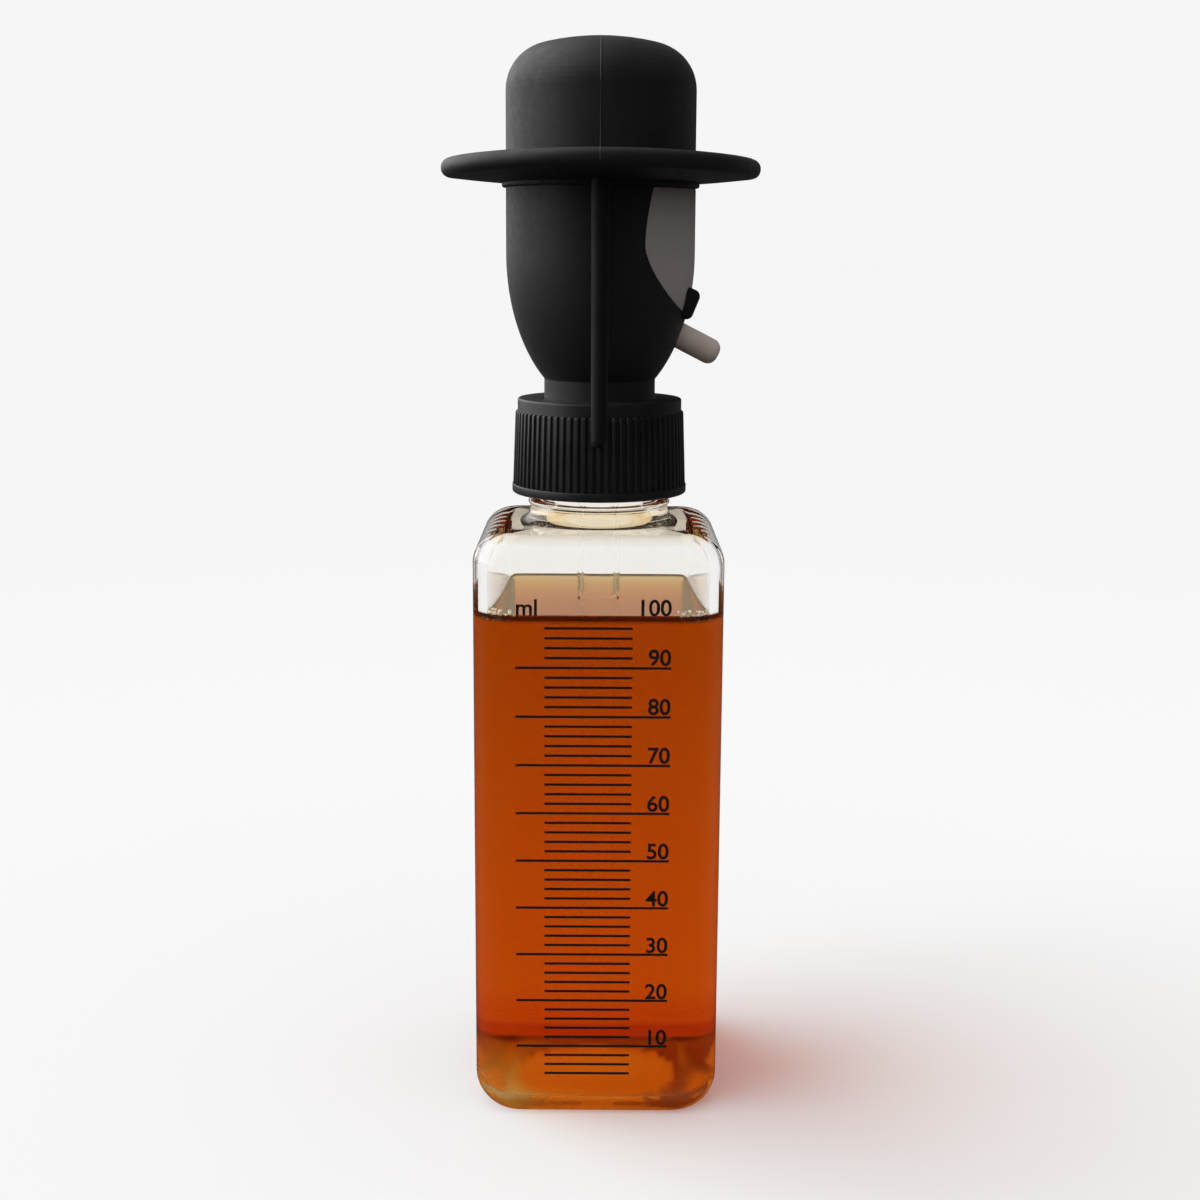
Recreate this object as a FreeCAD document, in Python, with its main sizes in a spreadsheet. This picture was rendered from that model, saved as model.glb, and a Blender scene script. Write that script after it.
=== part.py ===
"""Medicine dropper: a square graduated bottle with a screw cap and a figure-head squeeze bulb.

Millimetres, +Z up. The origin is the middle of the bottle's underside, the figure faces +X and
the printed scale is on the -Y side. The driving sizes are in the spreadsheet "Sizes".
"""
import FreeCAD, Part
import Sketcher
import os

SIZES = (
    # alias, value, meaning
    ("bottle_side", 40.0, "outer width of the square bottle"),
    ("glass_wall", 2.1, "side wall of the bottle"),
    ("base_thickness", 3.9, "glass under the liquid"),
    ("shoulder_height", 96.0, "top of the flat shoulder"),
    ("shoulder_thickness", 2.4, "glass over the headspace"),
    ("corner_radius", 6.5, "upright outer corners"),
    ("foot_radius", 6.0, "rounding under the bottle"),
    ("shoulder_radius", 4.8, "rounding over the shoulder"),
    ("inner_corner", 5.0, "upright inner corners"),
    ("inner_round", 3.2, "rounding of the cavity's floor and roof"),
    ("neck_radius", 11.5, "neck between the shoulder and the bead"),
    ("bead_radius", 12.8, "transfer bead"),
    ("bead_bottom", 97.6, "underside of the bead"),
    ("bead_height", 1.8, "thickness of the bead"),
    ("bead_round", 0.63, "rounding of the bead"),
    ("bead_taper", 0.9, "height of the slope from the bead to the threaded wall"),
    ("finish_radius", 10.75, "neck under its thread"),
    ("mouth_height", 112.0, "rim of the mouth"),
    ("mouth_radius", 8.5, "bore of the neck"),
    ("mouth_round", 0.6, "rounding of the rim"),
    ("thread_pitch", 3.18, "rise of one turn, eight turns to the inch"),
    ("thread_start", 103.4, "middle of the bottle thread's lower end"),
    ("thread_turns", 1.5, "turns of thread on the bottle"),
    ("thread_depth", 1.0, "height of the thread over its wall"),
    ("thread_root", 1.7, "width of the thread at its root"),
    ("thread_crest", 0.8, "width of the thread at its crest"),
    ("thread_bite", 0.3, "how far a thread's root sinks into its wall"),
    ("liquid_gap", 0.02, "film between the liquid and the glass"),
    ("pipette_room", 0.3, "clearance round the pipette in the liquid"),
    ("fill_ml", 100.0, "millilitres in the bottle"),
    ("ink_thickness", 0.05, "printed scale over the glass"),
    ("ink_line", 0.38, "width of a printed line"),
    ("long_line_left", -13.0, "left end of the lines with a number"),
    ("long_line_right", 11.5, "right end of the lines with a number"),
    ("short_line_left", -8.4, "left end of the other lines"),
    ("short_line_right", 5.4, "right end of the other lines"),
    ("cap_bottom", 100.85, "open end of the cap"),
    ("cap_top", 116.3, "top face of the cap"),
    ("cap_wall_radius", 12.2, "inside of the cap's skirt"),
    ("cap_lid", 1.4, "thickness of the cap's top"),
    ("cap_round", 0.4, "rounding of the cap's outer edges"),
    ("cap_thread_depth", 1.1, "height of the cap's thread"),
    ("cap_thread_turns", 1.25, "turns of thread in the cap"),
    ("lid_radius", 13.42, "smooth step at the top of the cap"),
    ("lid_slope", 0.02, "height of the slope at the foot of that step"),
    ("rib_top", 114.2, "upper end of the ribs"),
    ("rib_bottom", 102.3, "lower end of the ribs"),
    ("rib_top_radius", 13.8, "crest of the ribs at their upper end"),
    ("rib_bottom_radius", 14.2, "crest of the ribs at their lower end"),
    ("rib_depth", 0.4, "depth of the grooves between the ribs"),
    ("rib_width", 0.62, "width of a rib at its crest"),
    ("rib_root", 0.87, "width of a rib at its root"),
    ("rib_sink", 0.1, "how far the ribs run into the band"),
    ("band_radius", 14.34, "smooth band under the ribs"),
    ("bulb_neck", 9.06, "bulb's neck above the cap"),
    ("bulb_bore", 6.5, "bore of the bulb's neck"),
    ("flange_radius", 10.9, "flanges clamped between cap and mouth"),
    ("flange_thickness", 1.1, "bulb's own flange"),
    ("running_gap", 0.05, "clearance between pieces that move apart"),
    ("snug_gap", 0.02, "clearance between pieces that are pushed together"),
    ("washer_thickness", 0.8, "sealing washer"),
    ("washer_bore", 8.6, "hole of the sealing washer"),
    ("holder_flange", 0.8, "flange of the pipette holder"),
    ("holder_radius", 10.8, "outside of that flange"),
    ("holder_top", 119.4, "upper end of the pipette holder"),
    ("pipette_radius", 3.5, "outside of the pipette"),
    ("pipette_wall", 0.9, "glass of the pipette"),
    ("pipette_tip", 8.6, "lower end of the pipette"),
    ("tip_radius", 1.3, "outside of the pipette at its tip"),
    ("tip_bore", 0.65, "bore of the pipette at its tip"),
    ("tip_spread", 0.1, "how much the tip has widened at its upper end"),
    ("tip_length", 3.0, "length of the tip"),
    ("bore_offset", 0.5, "how much higher the bore's corners lie than the outside's"),
    ("rim_width", 0.7, "how far the pipette's rim stands out"),
    ("rim_height", 1.0, "height of that rim"),
    ("taper_top", 27.0, "where the pipette starts to narrow"),
    ("head_radius", 15.22, "outside of the head"),
    ("head_middle", 139.5, "where the head starts to narrow downwards"),
    ("head_drop", 25.0, "half height of the ellipsoid under that"),
    ("head_top", 150.6, "shoulder that the hat sits on"),
    ("bulb_wall", 2.2, "silicone wall of the bulb"),
    ("core_radius", 13.1, "closed top of the bulb inside the crown"),
    ("core_wall", 1.8, "silicone wall of that top"),
    ("core_top", 170.6, "upper end of the bulb"),
    ("core_round", 6.0, "rounding of the bulb's upper end"),
    ("hat_clearance", 0.05, "between the bulb and the hat"),
    ("crown_radius", 15.2, "side of the crown"),
    ("crown_top", 173.3, "highest point of the hat"),
    ("crown_edge", 171.9, "crown's top before its edge is rounded"),
    ("crown_sag", 0.25, "how far the crown has fallen at half its radius"),
    ("crown_round", 7.0, "rounding of the crown's edge"),
    ("brim_radius", 25.56, "outer edge of the brim"),
    ("brim_root_low", 150.65, "underside of the brim at the head"),
    ("brim_rise", 0.75, "how much the brim rises to its edge"),
    ("brim_thickness", 2.9, "brim's thickness"),
    ("brim_round", 1.35, "rounding of the brim's edge"),
    ("band_ring_radius", 15.85, "outside of the ring under the brim"),
    ("band_ring_height", 0.75, "height of the ring under the brim"),
    ("panel_thickness", 0.9, "face panel"),
    ("panel_start", 2.0, "plane that the panel's outline is drawn on"),
    ("panel_half_width", 13.6, "half width of the face panel"),
    ("panel_bottom", 130.2, "lower edge of the face panel"),
    ("panel_top", 149.7, "upper edge of the face panel"),
    ("panel_corner", 11.0, "rounding of its lower corners"),
    ("bar_radius", 2.6, "rounded bar under the face"),
    ("bar_reach", 13.6, "distance of the bar's axis from the head's axis"),
    ("bar_height", 131.4, "height of the bar's axis"),
    ("bar_half_length", 3.0, "half length of the bar between its round ends"),
    ("rod_radius", 2.1, "pale rod"),
    ("rod_root_reach", 13.3, "where the rod's axis leaves the head"),
    ("rod_root_height", 126.3, "height of that point"),
    ("rod_length", 6.7, "length of the rod outside the head"),
    ("rod_round", 1.2, "rounding of the rod's end"),
    ("rod_socket", 1.0, "depth of the rod's socket"),
    ("rod_depth", 4.0, "how far the rod's axis starts inside the head"),
    ("strand_reach", 17.45, "distance of each strand from the head's axis"),
    ("strand_top", 150.7, "pivot of each strand under the brim"),
    ("strand_bottom", 109.9, "lower end of each strand"),
    ("strand_top_radius", 1.45, "strand at the brim"),
    ("strand_end_radius", 1.25, "strand at its lower end"),
    ("strand_gap", 0.2, "clearance of the strand's socket in the brim"),
    ("overrun", 1.0, "how far a cutter or a joined solid runs past a face"),
)
RIB_COUNT = 72
ROD_SLOPE = 27.0                    # degrees below the horizontal
FIRST_LINE, LINE_STEP, LONG_LINE_STEP = 4, 2, 10        # millilitres
END_ROUNDING = 0.98                 # share of a strand's radius; a whole one would leave no flat
SAME_PLACE = 1e-4                   # two edges closer than this are at one place
NEAR_RIM = 0.01                     # an edge within this of a radius lies on it
INNER_SIDE = "(Sizes.bottle_side - 2 * Sizes.glass_wall)"
INNER_AREA = f"({INNER_SIDE}^2 - (4 - pi) * Sizes.inner_corner^2)"
ML_RISE = f"(1000 / {INNER_AREA})"                       # 1000 mm3 to the millilitre
# what the rounded floor takes from the first millilitres, spread over the cavity's section
FLOOR_LOSS = f"((1 - pi / 4) * Sizes.inner_round^2 * 4 * {INNER_SIDE} / {INNER_AREA})"
SCALE_ZERO = f"(Sizes.base_thickness + {FLOOR_LOSS})"
LIQUID_LEVEL = f"({SCALE_ZERO} + Sizes.fill_ml * {ML_RISE})"
CAVITY_ROOF = "(Sizes.shoulder_height - Sizes.shoulder_thickness)"
LID_UNDERSIDE = "(Sizes.cap_top - Sizes.cap_lid)"
BULB_FLANGE_TOP = f"({LID_UNDERSIDE} - Sizes.running_gap)"
HOLDER_FLANGE_TOP = f"({BULB_FLANGE_TOP} - Sizes.flange_thickness)"
HOLDER_BOTTOM = f"({HOLDER_FLANGE_TOP} - Sizes.holder_flange)"
WASHER_TOP = f"({HOLDER_BOTTOM} - Sizes.running_gap)"
CORE_BORE = "(Sizes.core_radius - Sizes.core_wall)"
UNDER_SHOULDER = "(Sizes.head_top - Sizes.bulb_wall - Sizes.overrun)"

doc = FreeCAD.newDocument("MedicineDropper")
sheet = doc.addObject("Spreadsheet::Sheet", "Sizes")


def fill_sheet():
    for row, (alias, value, meaning) in enumerate(SIZES, start=1):
        sheet.set(f"A{row}", meaning)
        sheet.set(f"B{row}", str(value))
        sheet.setAlias(f"B{row}", alias)
    doc.recompute()


def value(expression):
    """The number that an expression over the sheet gives now."""
    result = sheet.evalExpression(expression)
    return float(getattr(result, "Value", result))


# ---- primitives and booleans ----

def primitive(kind, name, **bindings):
    """A Part primitive; x, y and z place it, and the other bindings are its own properties."""
    item = doc.addObject(f"Part::{kind}", name)
    for axis in "xyz":
        if axis in bindings:
            item.setExpression(f"Placement.Base.{axis}", bindings.pop(axis))
    for prop, expression in bindings.items():
        item.setExpression(prop, expression)
    return item


def cylinder(name, radius, bottom, top):
    return primitive("Cylinder", name, Radius=radius, Height=f"{top} - {bottom}", z=bottom)


def cut(name, base, tool):
    item = doc.addObject("Part::Cut", name)
    item.Base = base
    item.Tool = tool
    return item


def common(name, base, tool):
    item = doc.addObject("Part::Common", name)
    item.Base = base
    item.Tool = tool
    return item


def fuse(name, *pieces):
    item = doc.addObject("Part::MultiFuse", name)
    item.Shapes = list(pieces)
    return item


# ---- bodies made from sketches ----

def origin_item(body, role):
    return next(item for item in body.Origin.OriginFeatures if item.Role == role)


def sketch_on(body, role, name, offset=None):
    sketch = body.newObject("Sketcher::SketchObject", name)
    sketch.AttachmentSupport = [(origin_item(body, role), "")]
    sketch.MapMode = "FlatFace"
    if offset:
        sketch.setExpression("AttachmentOffset.Base.z", offset)
    return sketch


def pin_point(sketch, line, horizontal, vertical):
    """Fix the start of a line at two expressions; "0" puts it on the sketch's axis."""
    for kind, axis_id, expression in (("DistanceX", -2, horizontal), ("DistanceY", -1, vertical)):
        if expression == "0":
            sketch.addConstraint(Sketcher.Constraint("PointOnObject", line, 1, axis_id))
            continue
        index = sketch.addConstraint(Sketcher.Constraint(kind, line, 1, value(expression)))
        sketch.setExpression(f"Constraints[{index}]", expression)


def polygon(sketch, corners):
    """A closed outline of straight runs; every corner is a pair of expressions."""
    points = [FreeCAD.Vector(value(across), value(up), 0) for across, up in corners]
    count = len(points)
    for i in range(count):
        sketch.addGeometry(Part.LineSegment(points[i], points[(i + 1) % count]), False)
    for i in range(count):
        sketch.addConstraint(Sketcher.Constraint("Coincident", i, 2, (i + 1) % count, 1))
    for i, (across, up) in enumerate(corners):
        pin_point(sketch, i, across, up)


def circle(sketch, radius):
    sketch.addGeometry(Part.Circle(FreeCAD.Vector(), FreeCAD.Vector(0, 0, 1), value(radius)), False)
    sketch.addConstraint(Sketcher.Constraint("Coincident", 0, 3, -1, 1))
    index = sketch.addConstraint(Sketcher.Constraint("Radius", 0, value(radius)))
    sketch.setExpression(f"Constraints[{index}]", radius)


def square(sketch, side):
    half = f"({side} / 2)"
    low = f"(-{side} / 2)"
    polygon(sketch, [(low, low), (half, low), (half, half), (low, half)])


def new_body(name):
    return doc.addObject("PartDesign::Body", name)


def pad(body, name, sketch, length):
    feature = body.newObject("PartDesign::Pad", name)
    feature.Profile = sketch
    feature.setExpression("Length", length)
    doc.recompute()
    return feature


def pocket(body, name, sketch, length, upwards):
    """Cut along the sketch's normal or against it, and make sure that it removed material."""
    doc.recompute()
    before = body.Tip.Shape.Volume
    feature = body.newObject("PartDesign::Pocket", name)
    feature.Profile = sketch
    feature.Reversed = upwards
    feature.setExpression("Length", length)
    doc.recompute()
    if body.Tip.Shape.Volume >= before:
        raise RuntimeError(f"{name} removed nothing")
    return feature


def revolve(body, name, corners):
    sketch = sketch_on(body, "XZ_Plane", f"{name}_outline")
    polygon(sketch, corners)
    feature = body.newObject("PartDesign::Revolution", name)
    feature.Profile = sketch
    feature.ReferenceAxis = (sketch, ["V_Axis"])
    feature.Angle = 360
    doc.recompute()
    return feature


def thread(body, name, corners, turns):
    sketch = sketch_on(body, "XZ_Plane", f"{name}_section")
    polygon(sketch, corners)
    feature = body.newObject("PartDesign::AdditiveHelix", name)
    feature.Profile = sketch
    feature.ReferenceAxis = (sketch, ["V_Axis"])
    feature.Mode = 0
    feature.setExpression("Pitch", "Sizes.thread_pitch")
    feature.setExpression("Height", f"Sizes.thread_pitch * {turns}")
    doc.recompute()
    return feature


def round_edges(body, name, radius, wanted):
    base = body.Tip
    edges = [f"Edge{i}" for i, edge in enumerate(base.Shape.Edges, start=1) if wanted(edge)]
    if not edges:
        raise RuntimeError(f"{name} found no edge")
    feature = body.newObject("PartDesign::Fillet", name)
    feature.Base = (base, edges)
    feature.setExpression("Radius", radius)
    doc.recompute()
    return feature


def lies_at(edge, height, reach=None):
    """True for an edge in the level plane at a height, and within a reach of the Z axis if given."""
    box = edge.BoundBox
    level = abs(box.ZMin - height) < SAME_PLACE and abs(box.ZMax - height) < SAME_PLACE
    return level and (reach is None or max(abs(box.XMin), abs(box.XMax)) < reach + SAME_PLACE)


def is_corner(edge, half):
    """True for an upright edge at a corner of a square of a half side."""
    box = edge.BoundBox
    upright = box.ZLength > SAME_PLACE and box.XLength < SAME_PLACE and box.YLength < SAME_PLACE
    return upright and abs(abs(box.XMin) - half) < SAME_PLACE and abs(abs(box.YMin) - half) < SAME_PLACE


# ---- the bottle and what is in it ----

def rounded_block(name, side, bottom, top):
    """A square block with the cavity's upright corners and the rounding of its floor."""
    body = new_body(name)
    outline = sketch_on(body, "XY_Plane", f"{name}_outline", bottom)
    square(outline, side)
    pad(body, f"{name}_pad", outline, f"{top} - {bottom}")
    half = value(side) / 2
    round_edges(body, f"{name}_corners", "Sizes.inner_corner", lambda e: is_corner(e, half))
    floor = value(bottom)
    round_edges(body, f"{name}_floor", "Sizes.inner_round", lambda e: lies_at(e, floor))
    return body


def bottle_outside():
    """The square bottle with its neck, bead and thread, still solid but for the neck's bore."""
    body = new_body("bottle_outside")
    outline = sketch_on(body, "XY_Plane", "bottle_outline")
    square(outline, "Sizes.bottle_side")
    pad(body, "bottle_block", outline, "Sizes.shoulder_height")
    half = value("Sizes.bottle_side / 2")
    round_edges(body, "bottle_corners", "Sizes.corner_radius", lambda e: is_corner(e, half))
    round_edges(body, "bottle_foot", "Sizes.foot_radius", lambda e: lies_at(e, 0))
    shoulder = value("Sizes.shoulder_height")
    round_edges(body, "bottle_shoulder", "Sizes.shoulder_radius", lambda e: lies_at(e, shoulder))
    bead_top = "(Sizes.bead_bottom + Sizes.bead_height)"
    revolve(body, "bottle_neck", [
        ("0", "Sizes.shoulder_height - Sizes.overrun"),
        ("Sizes.neck_radius", "Sizes.shoulder_height - Sizes.overrun"),
        ("Sizes.neck_radius", "Sizes.bead_bottom"),
        ("Sizes.bead_radius", "Sizes.bead_bottom"),
        ("Sizes.bead_radius", bead_top),
        ("Sizes.finish_radius", f"{bead_top} + Sizes.bead_taper"),
        ("Sizes.finish_radius", "Sizes.mouth_height"),
        ("0", "Sizes.mouth_height")])
    low, high = value("Sizes.bead_bottom"), value(bead_top)
    crest = value("Sizes.bead_radius")

    def bead_edge(edge):
        return (lies_at(edge, low) or lies_at(edge, high)) and edge.BoundBox.XMax > crest - NEAR_RIM
    round_edges(body, "bead_rounding", "Sizes.bead_round", bead_edge)
    mouth = value("Sizes.mouth_height")
    round_edges(body, "mouth_rounding", "Sizes.mouth_round", lambda e: lies_at(e, mouth))
    bore = sketch_on(body, "XY_Plane", "bore_outline", "Sizes.mouth_height")
    circle(bore, "Sizes.mouth_radius")
    pocket(body, "mouth_bore", bore, f"Sizes.mouth_height - {CAVITY_ROOF} + Sizes.overrun", False)
    inside = "(Sizes.finish_radius - Sizes.thread_bite)"
    crest_radius = "(Sizes.finish_radius + Sizes.thread_depth)"
    thread(body, "bottle_thread", [
        (inside, "Sizes.thread_start - Sizes.thread_root / 2"),
        (crest_radius, "Sizes.thread_start - Sizes.thread_crest / 2"),
        (crest_radius, "Sizes.thread_start + Sizes.thread_crest / 2"),
        (inside, "Sizes.thread_start + Sizes.thread_root / 2")], "Sizes.thread_turns")
    return body


def glass_bottle():
    cavity = rounded_block("cavity", INNER_SIDE, "Sizes.base_thickness", CAVITY_ROOF)
    roof = value(CAVITY_ROOF)
    round_edges(cavity, "cavity_roof", "Sizes.inner_round", lambda e: lies_at(e, roof))
    return cut("glass_bottle", bottle_outside(), cavity)


def liquid_fill():
    """The liquid, with the room that the pipette takes from it."""
    side = f"({INNER_SIDE} - 2 * Sizes.liquid_gap)"
    bottom = "(Sizes.base_thickness + Sizes.liquid_gap)"
    block = rounded_block("liquid_block", side, bottom, LIQUID_LEVEL)
    hole = cylinder("pipette_room", "Sizes.pipette_radius + Sizes.pipette_room",
                    "(Sizes.pipette_tip - Sizes.overrun)", f"({LIQUID_LEVEL} + Sizes.overrun)")
    return cut("liquid_fill", block, hole)


def scale_print():
    """Long lines every ten millilitres and short ones every two, on the front face."""
    lines = []
    for ml in range(FIRST_LINE, round(value("Sizes.fill_ml")), LINE_STEP):
        kind = "short" if ml % LONG_LINE_STEP else "long"
        left, right = f"Sizes.{kind}_line_left", f"Sizes.{kind}_line_right"
        line = primitive(
            "Box", f"line_{ml}", Length=f"{right} - {left}", Width="Sizes.ink_thickness",
            Height="Sizes.ink_line", x=left, y="-Sizes.bottle_side / 2 - Sizes.ink_thickness",
            z=f"{SCALE_ZERO} + {ml} * {ML_RISE} - Sizes.ink_line / 2")
        lines.append(line)
    group = doc.addObject("Part::Compound", "scale_print")
    group.Links = lines
    return group


# ---- the screw cap and the seal ----

def screw_cap():
    body = new_body("screw_cap")
    hole = "(Sizes.bulb_neck + 2 * Sizes.running_gap)"
    revolve(body, "cap_shell", [
        ("Sizes.cap_wall_radius", "Sizes.cap_bottom"),
        ("Sizes.band_radius", "Sizes.cap_bottom"),
        ("Sizes.band_radius", "Sizes.rib_bottom"),
        ("Sizes.rib_bottom_radius - Sizes.rib_depth", "Sizes.rib_bottom"),
        ("Sizes.rib_top_radius - Sizes.rib_depth", "Sizes.rib_top"),
        ("Sizes.lid_radius", "Sizes.rib_top + Sizes.lid_slope"),
        ("Sizes.lid_radius", "Sizes.cap_top"),
        (hole, "Sizes.cap_top"),
        (hole, LID_UNDERSIDE),
        ("Sizes.cap_wall_radius", LID_UNDERSIDE)])
    top, bottom = value("Sizes.cap_top"), value("Sizes.cap_bottom")
    lid, band = value("Sizes.lid_radius"), value("Sizes.band_radius")

    def outer_edge(edge):
        reach = edge.BoundBox.XMax + NEAR_RIM
        return (lies_at(edge, top) and reach > lid) or (lies_at(edge, bottom) and reach > band)
    round_edges(body, "cap_rounding", "Sizes.cap_round", outer_edge)
    cap_ribs(body)
    inside = "(Sizes.cap_wall_radius + Sizes.thread_bite)"
    crest_radius = "(Sizes.cap_wall_radius - Sizes.cap_thread_depth)"
    start = "(Sizes.thread_start + Sizes.thread_pitch / 2)"
    thread(body, "cap_thread", [
        (inside, f"{start} - Sizes.thread_root / 2"),
        (inside, f"{start} + Sizes.thread_root / 2"),
        (crest_radius, f"{start} + Sizes.thread_crest / 2"),
        (crest_radius, f"{start} - Sizes.thread_crest / 2")], "Sizes.cap_thread_turns")
    return body


def cap_ribs(body):
    """One tapered rib between two sketches, repeated round the cap."""
    sections = []
    for name, crest, height in (("rib_foot", "Sizes.rib_bottom_radius", "Sizes.rib_bottom - Sizes.rib_sink"),
                                ("rib_head", "Sizes.rib_top_radius", "Sizes.rib_top")):
        sketch = sketch_on(body, "XY_Plane", name, height)
        inner = f"({crest} - Sizes.rib_depth - Sizes.thread_bite)"
        polygon(sketch, [
            (inner, "-Sizes.rib_root / 2"),
            (crest, "-Sizes.rib_width / 2"),
            (crest, "Sizes.rib_width / 2"),
            (inner, "Sizes.rib_root / 2")])
        sections.append(sketch)
    rib = body.newObject("PartDesign::AdditiveLoft", "cap_rib")
    rib.Profile = sections[0]
    rib.Sections = sections[1:]
    doc.recompute()
    ring = body.newObject("PartDesign::PolarPattern", "cap_ribs")
    ring.Originals = [rib]
    ring.Axis = (origin_item(body, "Z_Axis"), [""])
    ring.Angle = 360
    ring.Occurrences = RIB_COUNT
    body.Tip = ring
    doc.recompute()


def sealing_washer():
    bottom = f"({WASHER_TOP} - Sizes.washer_thickness)"
    ring = cylinder("washer_disc", "Sizes.flange_radius", bottom, WASHER_TOP)
    hole = cylinder("washer_hole", "Sizes.washer_bore", f"({bottom} - Sizes.overrun)",
                    f"({WASHER_TOP} + Sizes.overrun)")
    return cut("sealing_washer", ring, hole)


# ---- the dropper ----

def pipette_holder():
    body = new_body("pipette_holder")
    bore = "(Sizes.pipette_radius + Sizes.snug_gap)"
    stem = "(Sizes.bulb_bore - Sizes.snug_gap / 2)"
    revolve(body, "holder_turned", [
        (bore, HOLDER_BOTTOM),
        ("Sizes.holder_radius", HOLDER_BOTTOM),
        ("Sizes.holder_radius", HOLDER_FLANGE_TOP),
        (stem, HOLDER_FLANGE_TOP),
        (stem, "Sizes.holder_top"),
        (bore, "Sizes.holder_top")])
    return body


def glass_pipette():
    body = new_body("glass_pipette")
    inner = "(Sizes.pipette_radius - Sizes.pipette_wall)"
    rim = "(Sizes.pipette_radius + Sizes.rim_width)"
    tip_end = "Sizes.pipette_tip + Sizes.tip_length"
    revolve(body, "pipette_turned", [
        ("Sizes.tip_bore", "Sizes.pipette_tip"),
        ("Sizes.tip_radius", "Sizes.pipette_tip"),
        ("Sizes.tip_radius + Sizes.tip_spread", tip_end),
        ("Sizes.pipette_radius", "Sizes.taper_top"),
        ("Sizes.pipette_radius", "Sizes.holder_top"),
        (rim, "Sizes.holder_top"),
        (rim, "Sizes.holder_top + Sizes.rim_height"),
        (inner, "Sizes.holder_top + Sizes.rim_height"),
        (inner, "Sizes.taper_top + Sizes.bore_offset"),
        ("Sizes.tip_bore + Sizes.tip_spread / 2", f"{tip_end} + Sizes.bore_offset")])
    return body


def head_form(name, inset):
    """The head's outside, or a surface at a depth under it: a barrel over half an ellipsoid."""
    radius = f"(Sizes.head_radius - {inset})"
    barrel = cylinder(f"{name}_barrel", radius, "Sizes.head_middle", "Sizes.head_top")
    chin = primitive("Ellipsoid", f"{name}_chin", Radius1=f"Sizes.head_drop - {inset}",
                     Radius2=radius, Radius3=radius, z="Sizes.head_middle")
    chin.Angle1 = -90
    chin.Angle2 = 0
    return fuse(name, barrel, chin)


def panel_prism(name, growth):
    """A block along +X whose end view is the face panel's outline, grown all round."""
    body = new_body(name)
    sketch = sketch_on(body, "YZ_Plane", f"{name}_outline", "Sizes.panel_start")
    half = f"(Sizes.panel_half_width + {growth})"
    bottom, top = f"(Sizes.panel_bottom - {growth})", f"(Sizes.panel_top + {growth})"
    polygon(sketch, [(f"-{half}", bottom), (half, bottom), (half, top), (f"-{half}", top)])
    pad(body, f"{name}_pad", sketch, "Sizes.head_radius")
    low = value(bottom)

    def lower_side(edge):
        return lies_at(edge, low) and edge.BoundBox.YLength < SAME_PLACE
    round_edges(body, f"{name}_corners", f"Sizes.panel_corner + {growth}", lower_side)
    return body


def face_panel(head_outside):
    skin = cut("panel_skin", head_outside, head_form("panel_back", "Sizes.panel_thickness"))
    return common("face_panel", skin, panel_prism("panel_shape", "0"))


def rod_blank(name, growth, length):
    """A cylinder along the rod's axis, from a depth inside the head to a length outside it."""
    rod = primitive("Cylinder", name, Radius=f"Sizes.rod_radius + {growth}",
                    Height=f"{length} + Sizes.rod_depth")
    angle = 90 + ROD_SLOPE
    turn = FreeCAD.Rotation(FreeCAD.Vector(0, 1, 0), angle)
    along = turn.multVec(FreeCAD.Vector(0, 0, 1))
    rod.Placement.Rotation = turn
    rod.setExpression("Placement.Base.x", f"Sizes.rod_root_reach - Sizes.rod_depth * {along.x}")
    rod.setExpression("Placement.Base.z", f"Sizes.rod_root_height - Sizes.rod_depth * {along.z}")
    return rod


def pale_rod():
    """The rod ends on a surface a socket's depth under the head's outside."""
    blank = rod_blank("rod_blank", "0", "Sizes.rod_length")
    doc.recompute()
    rounded = doc.addObject("Part::Fillet", "rod_rounded")
    rounded.Base = blank
    tip = max(range(len(blank.Shape.Edges)), key=lambda i: blank.Shape.Edges[i].CenterOfMass.x)
    rounded.Edges = [(tip + 1, value("Sizes.rod_round"), value("Sizes.rod_round"))]
    return cut("pale_rod", rounded, head_form("rod_seat", "Sizes.rod_socket"))


def face_bar():
    """A bar across the face with round ends, cut to sit on the head's surface."""
    barrel = primitive("Cylinder", "bar_barrel", Radius="Sizes.bar_radius",
                       Height="2 * Sizes.bar_half_length", x="Sizes.bar_reach",
                       y="Sizes.bar_half_length", z="Sizes.bar_height")
    barrel.Placement.Rotation = FreeCAD.Rotation(FreeCAD.Vector(1, 0, 0), 90)
    ends = [primitive("Sphere", f"bar_end_{side}", Radius="Sizes.bar_radius", x="Sizes.bar_reach",
                      y=f"{sign} * Sizes.bar_half_length", z="Sizes.bar_height")
            for side, sign in (("near", -1), ("far", 1))]
    return cut("face_bar", fuse("bar_blank", barrel, *ends), head_form("bar_seat", "(-Sizes.running_gap)"))


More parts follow.
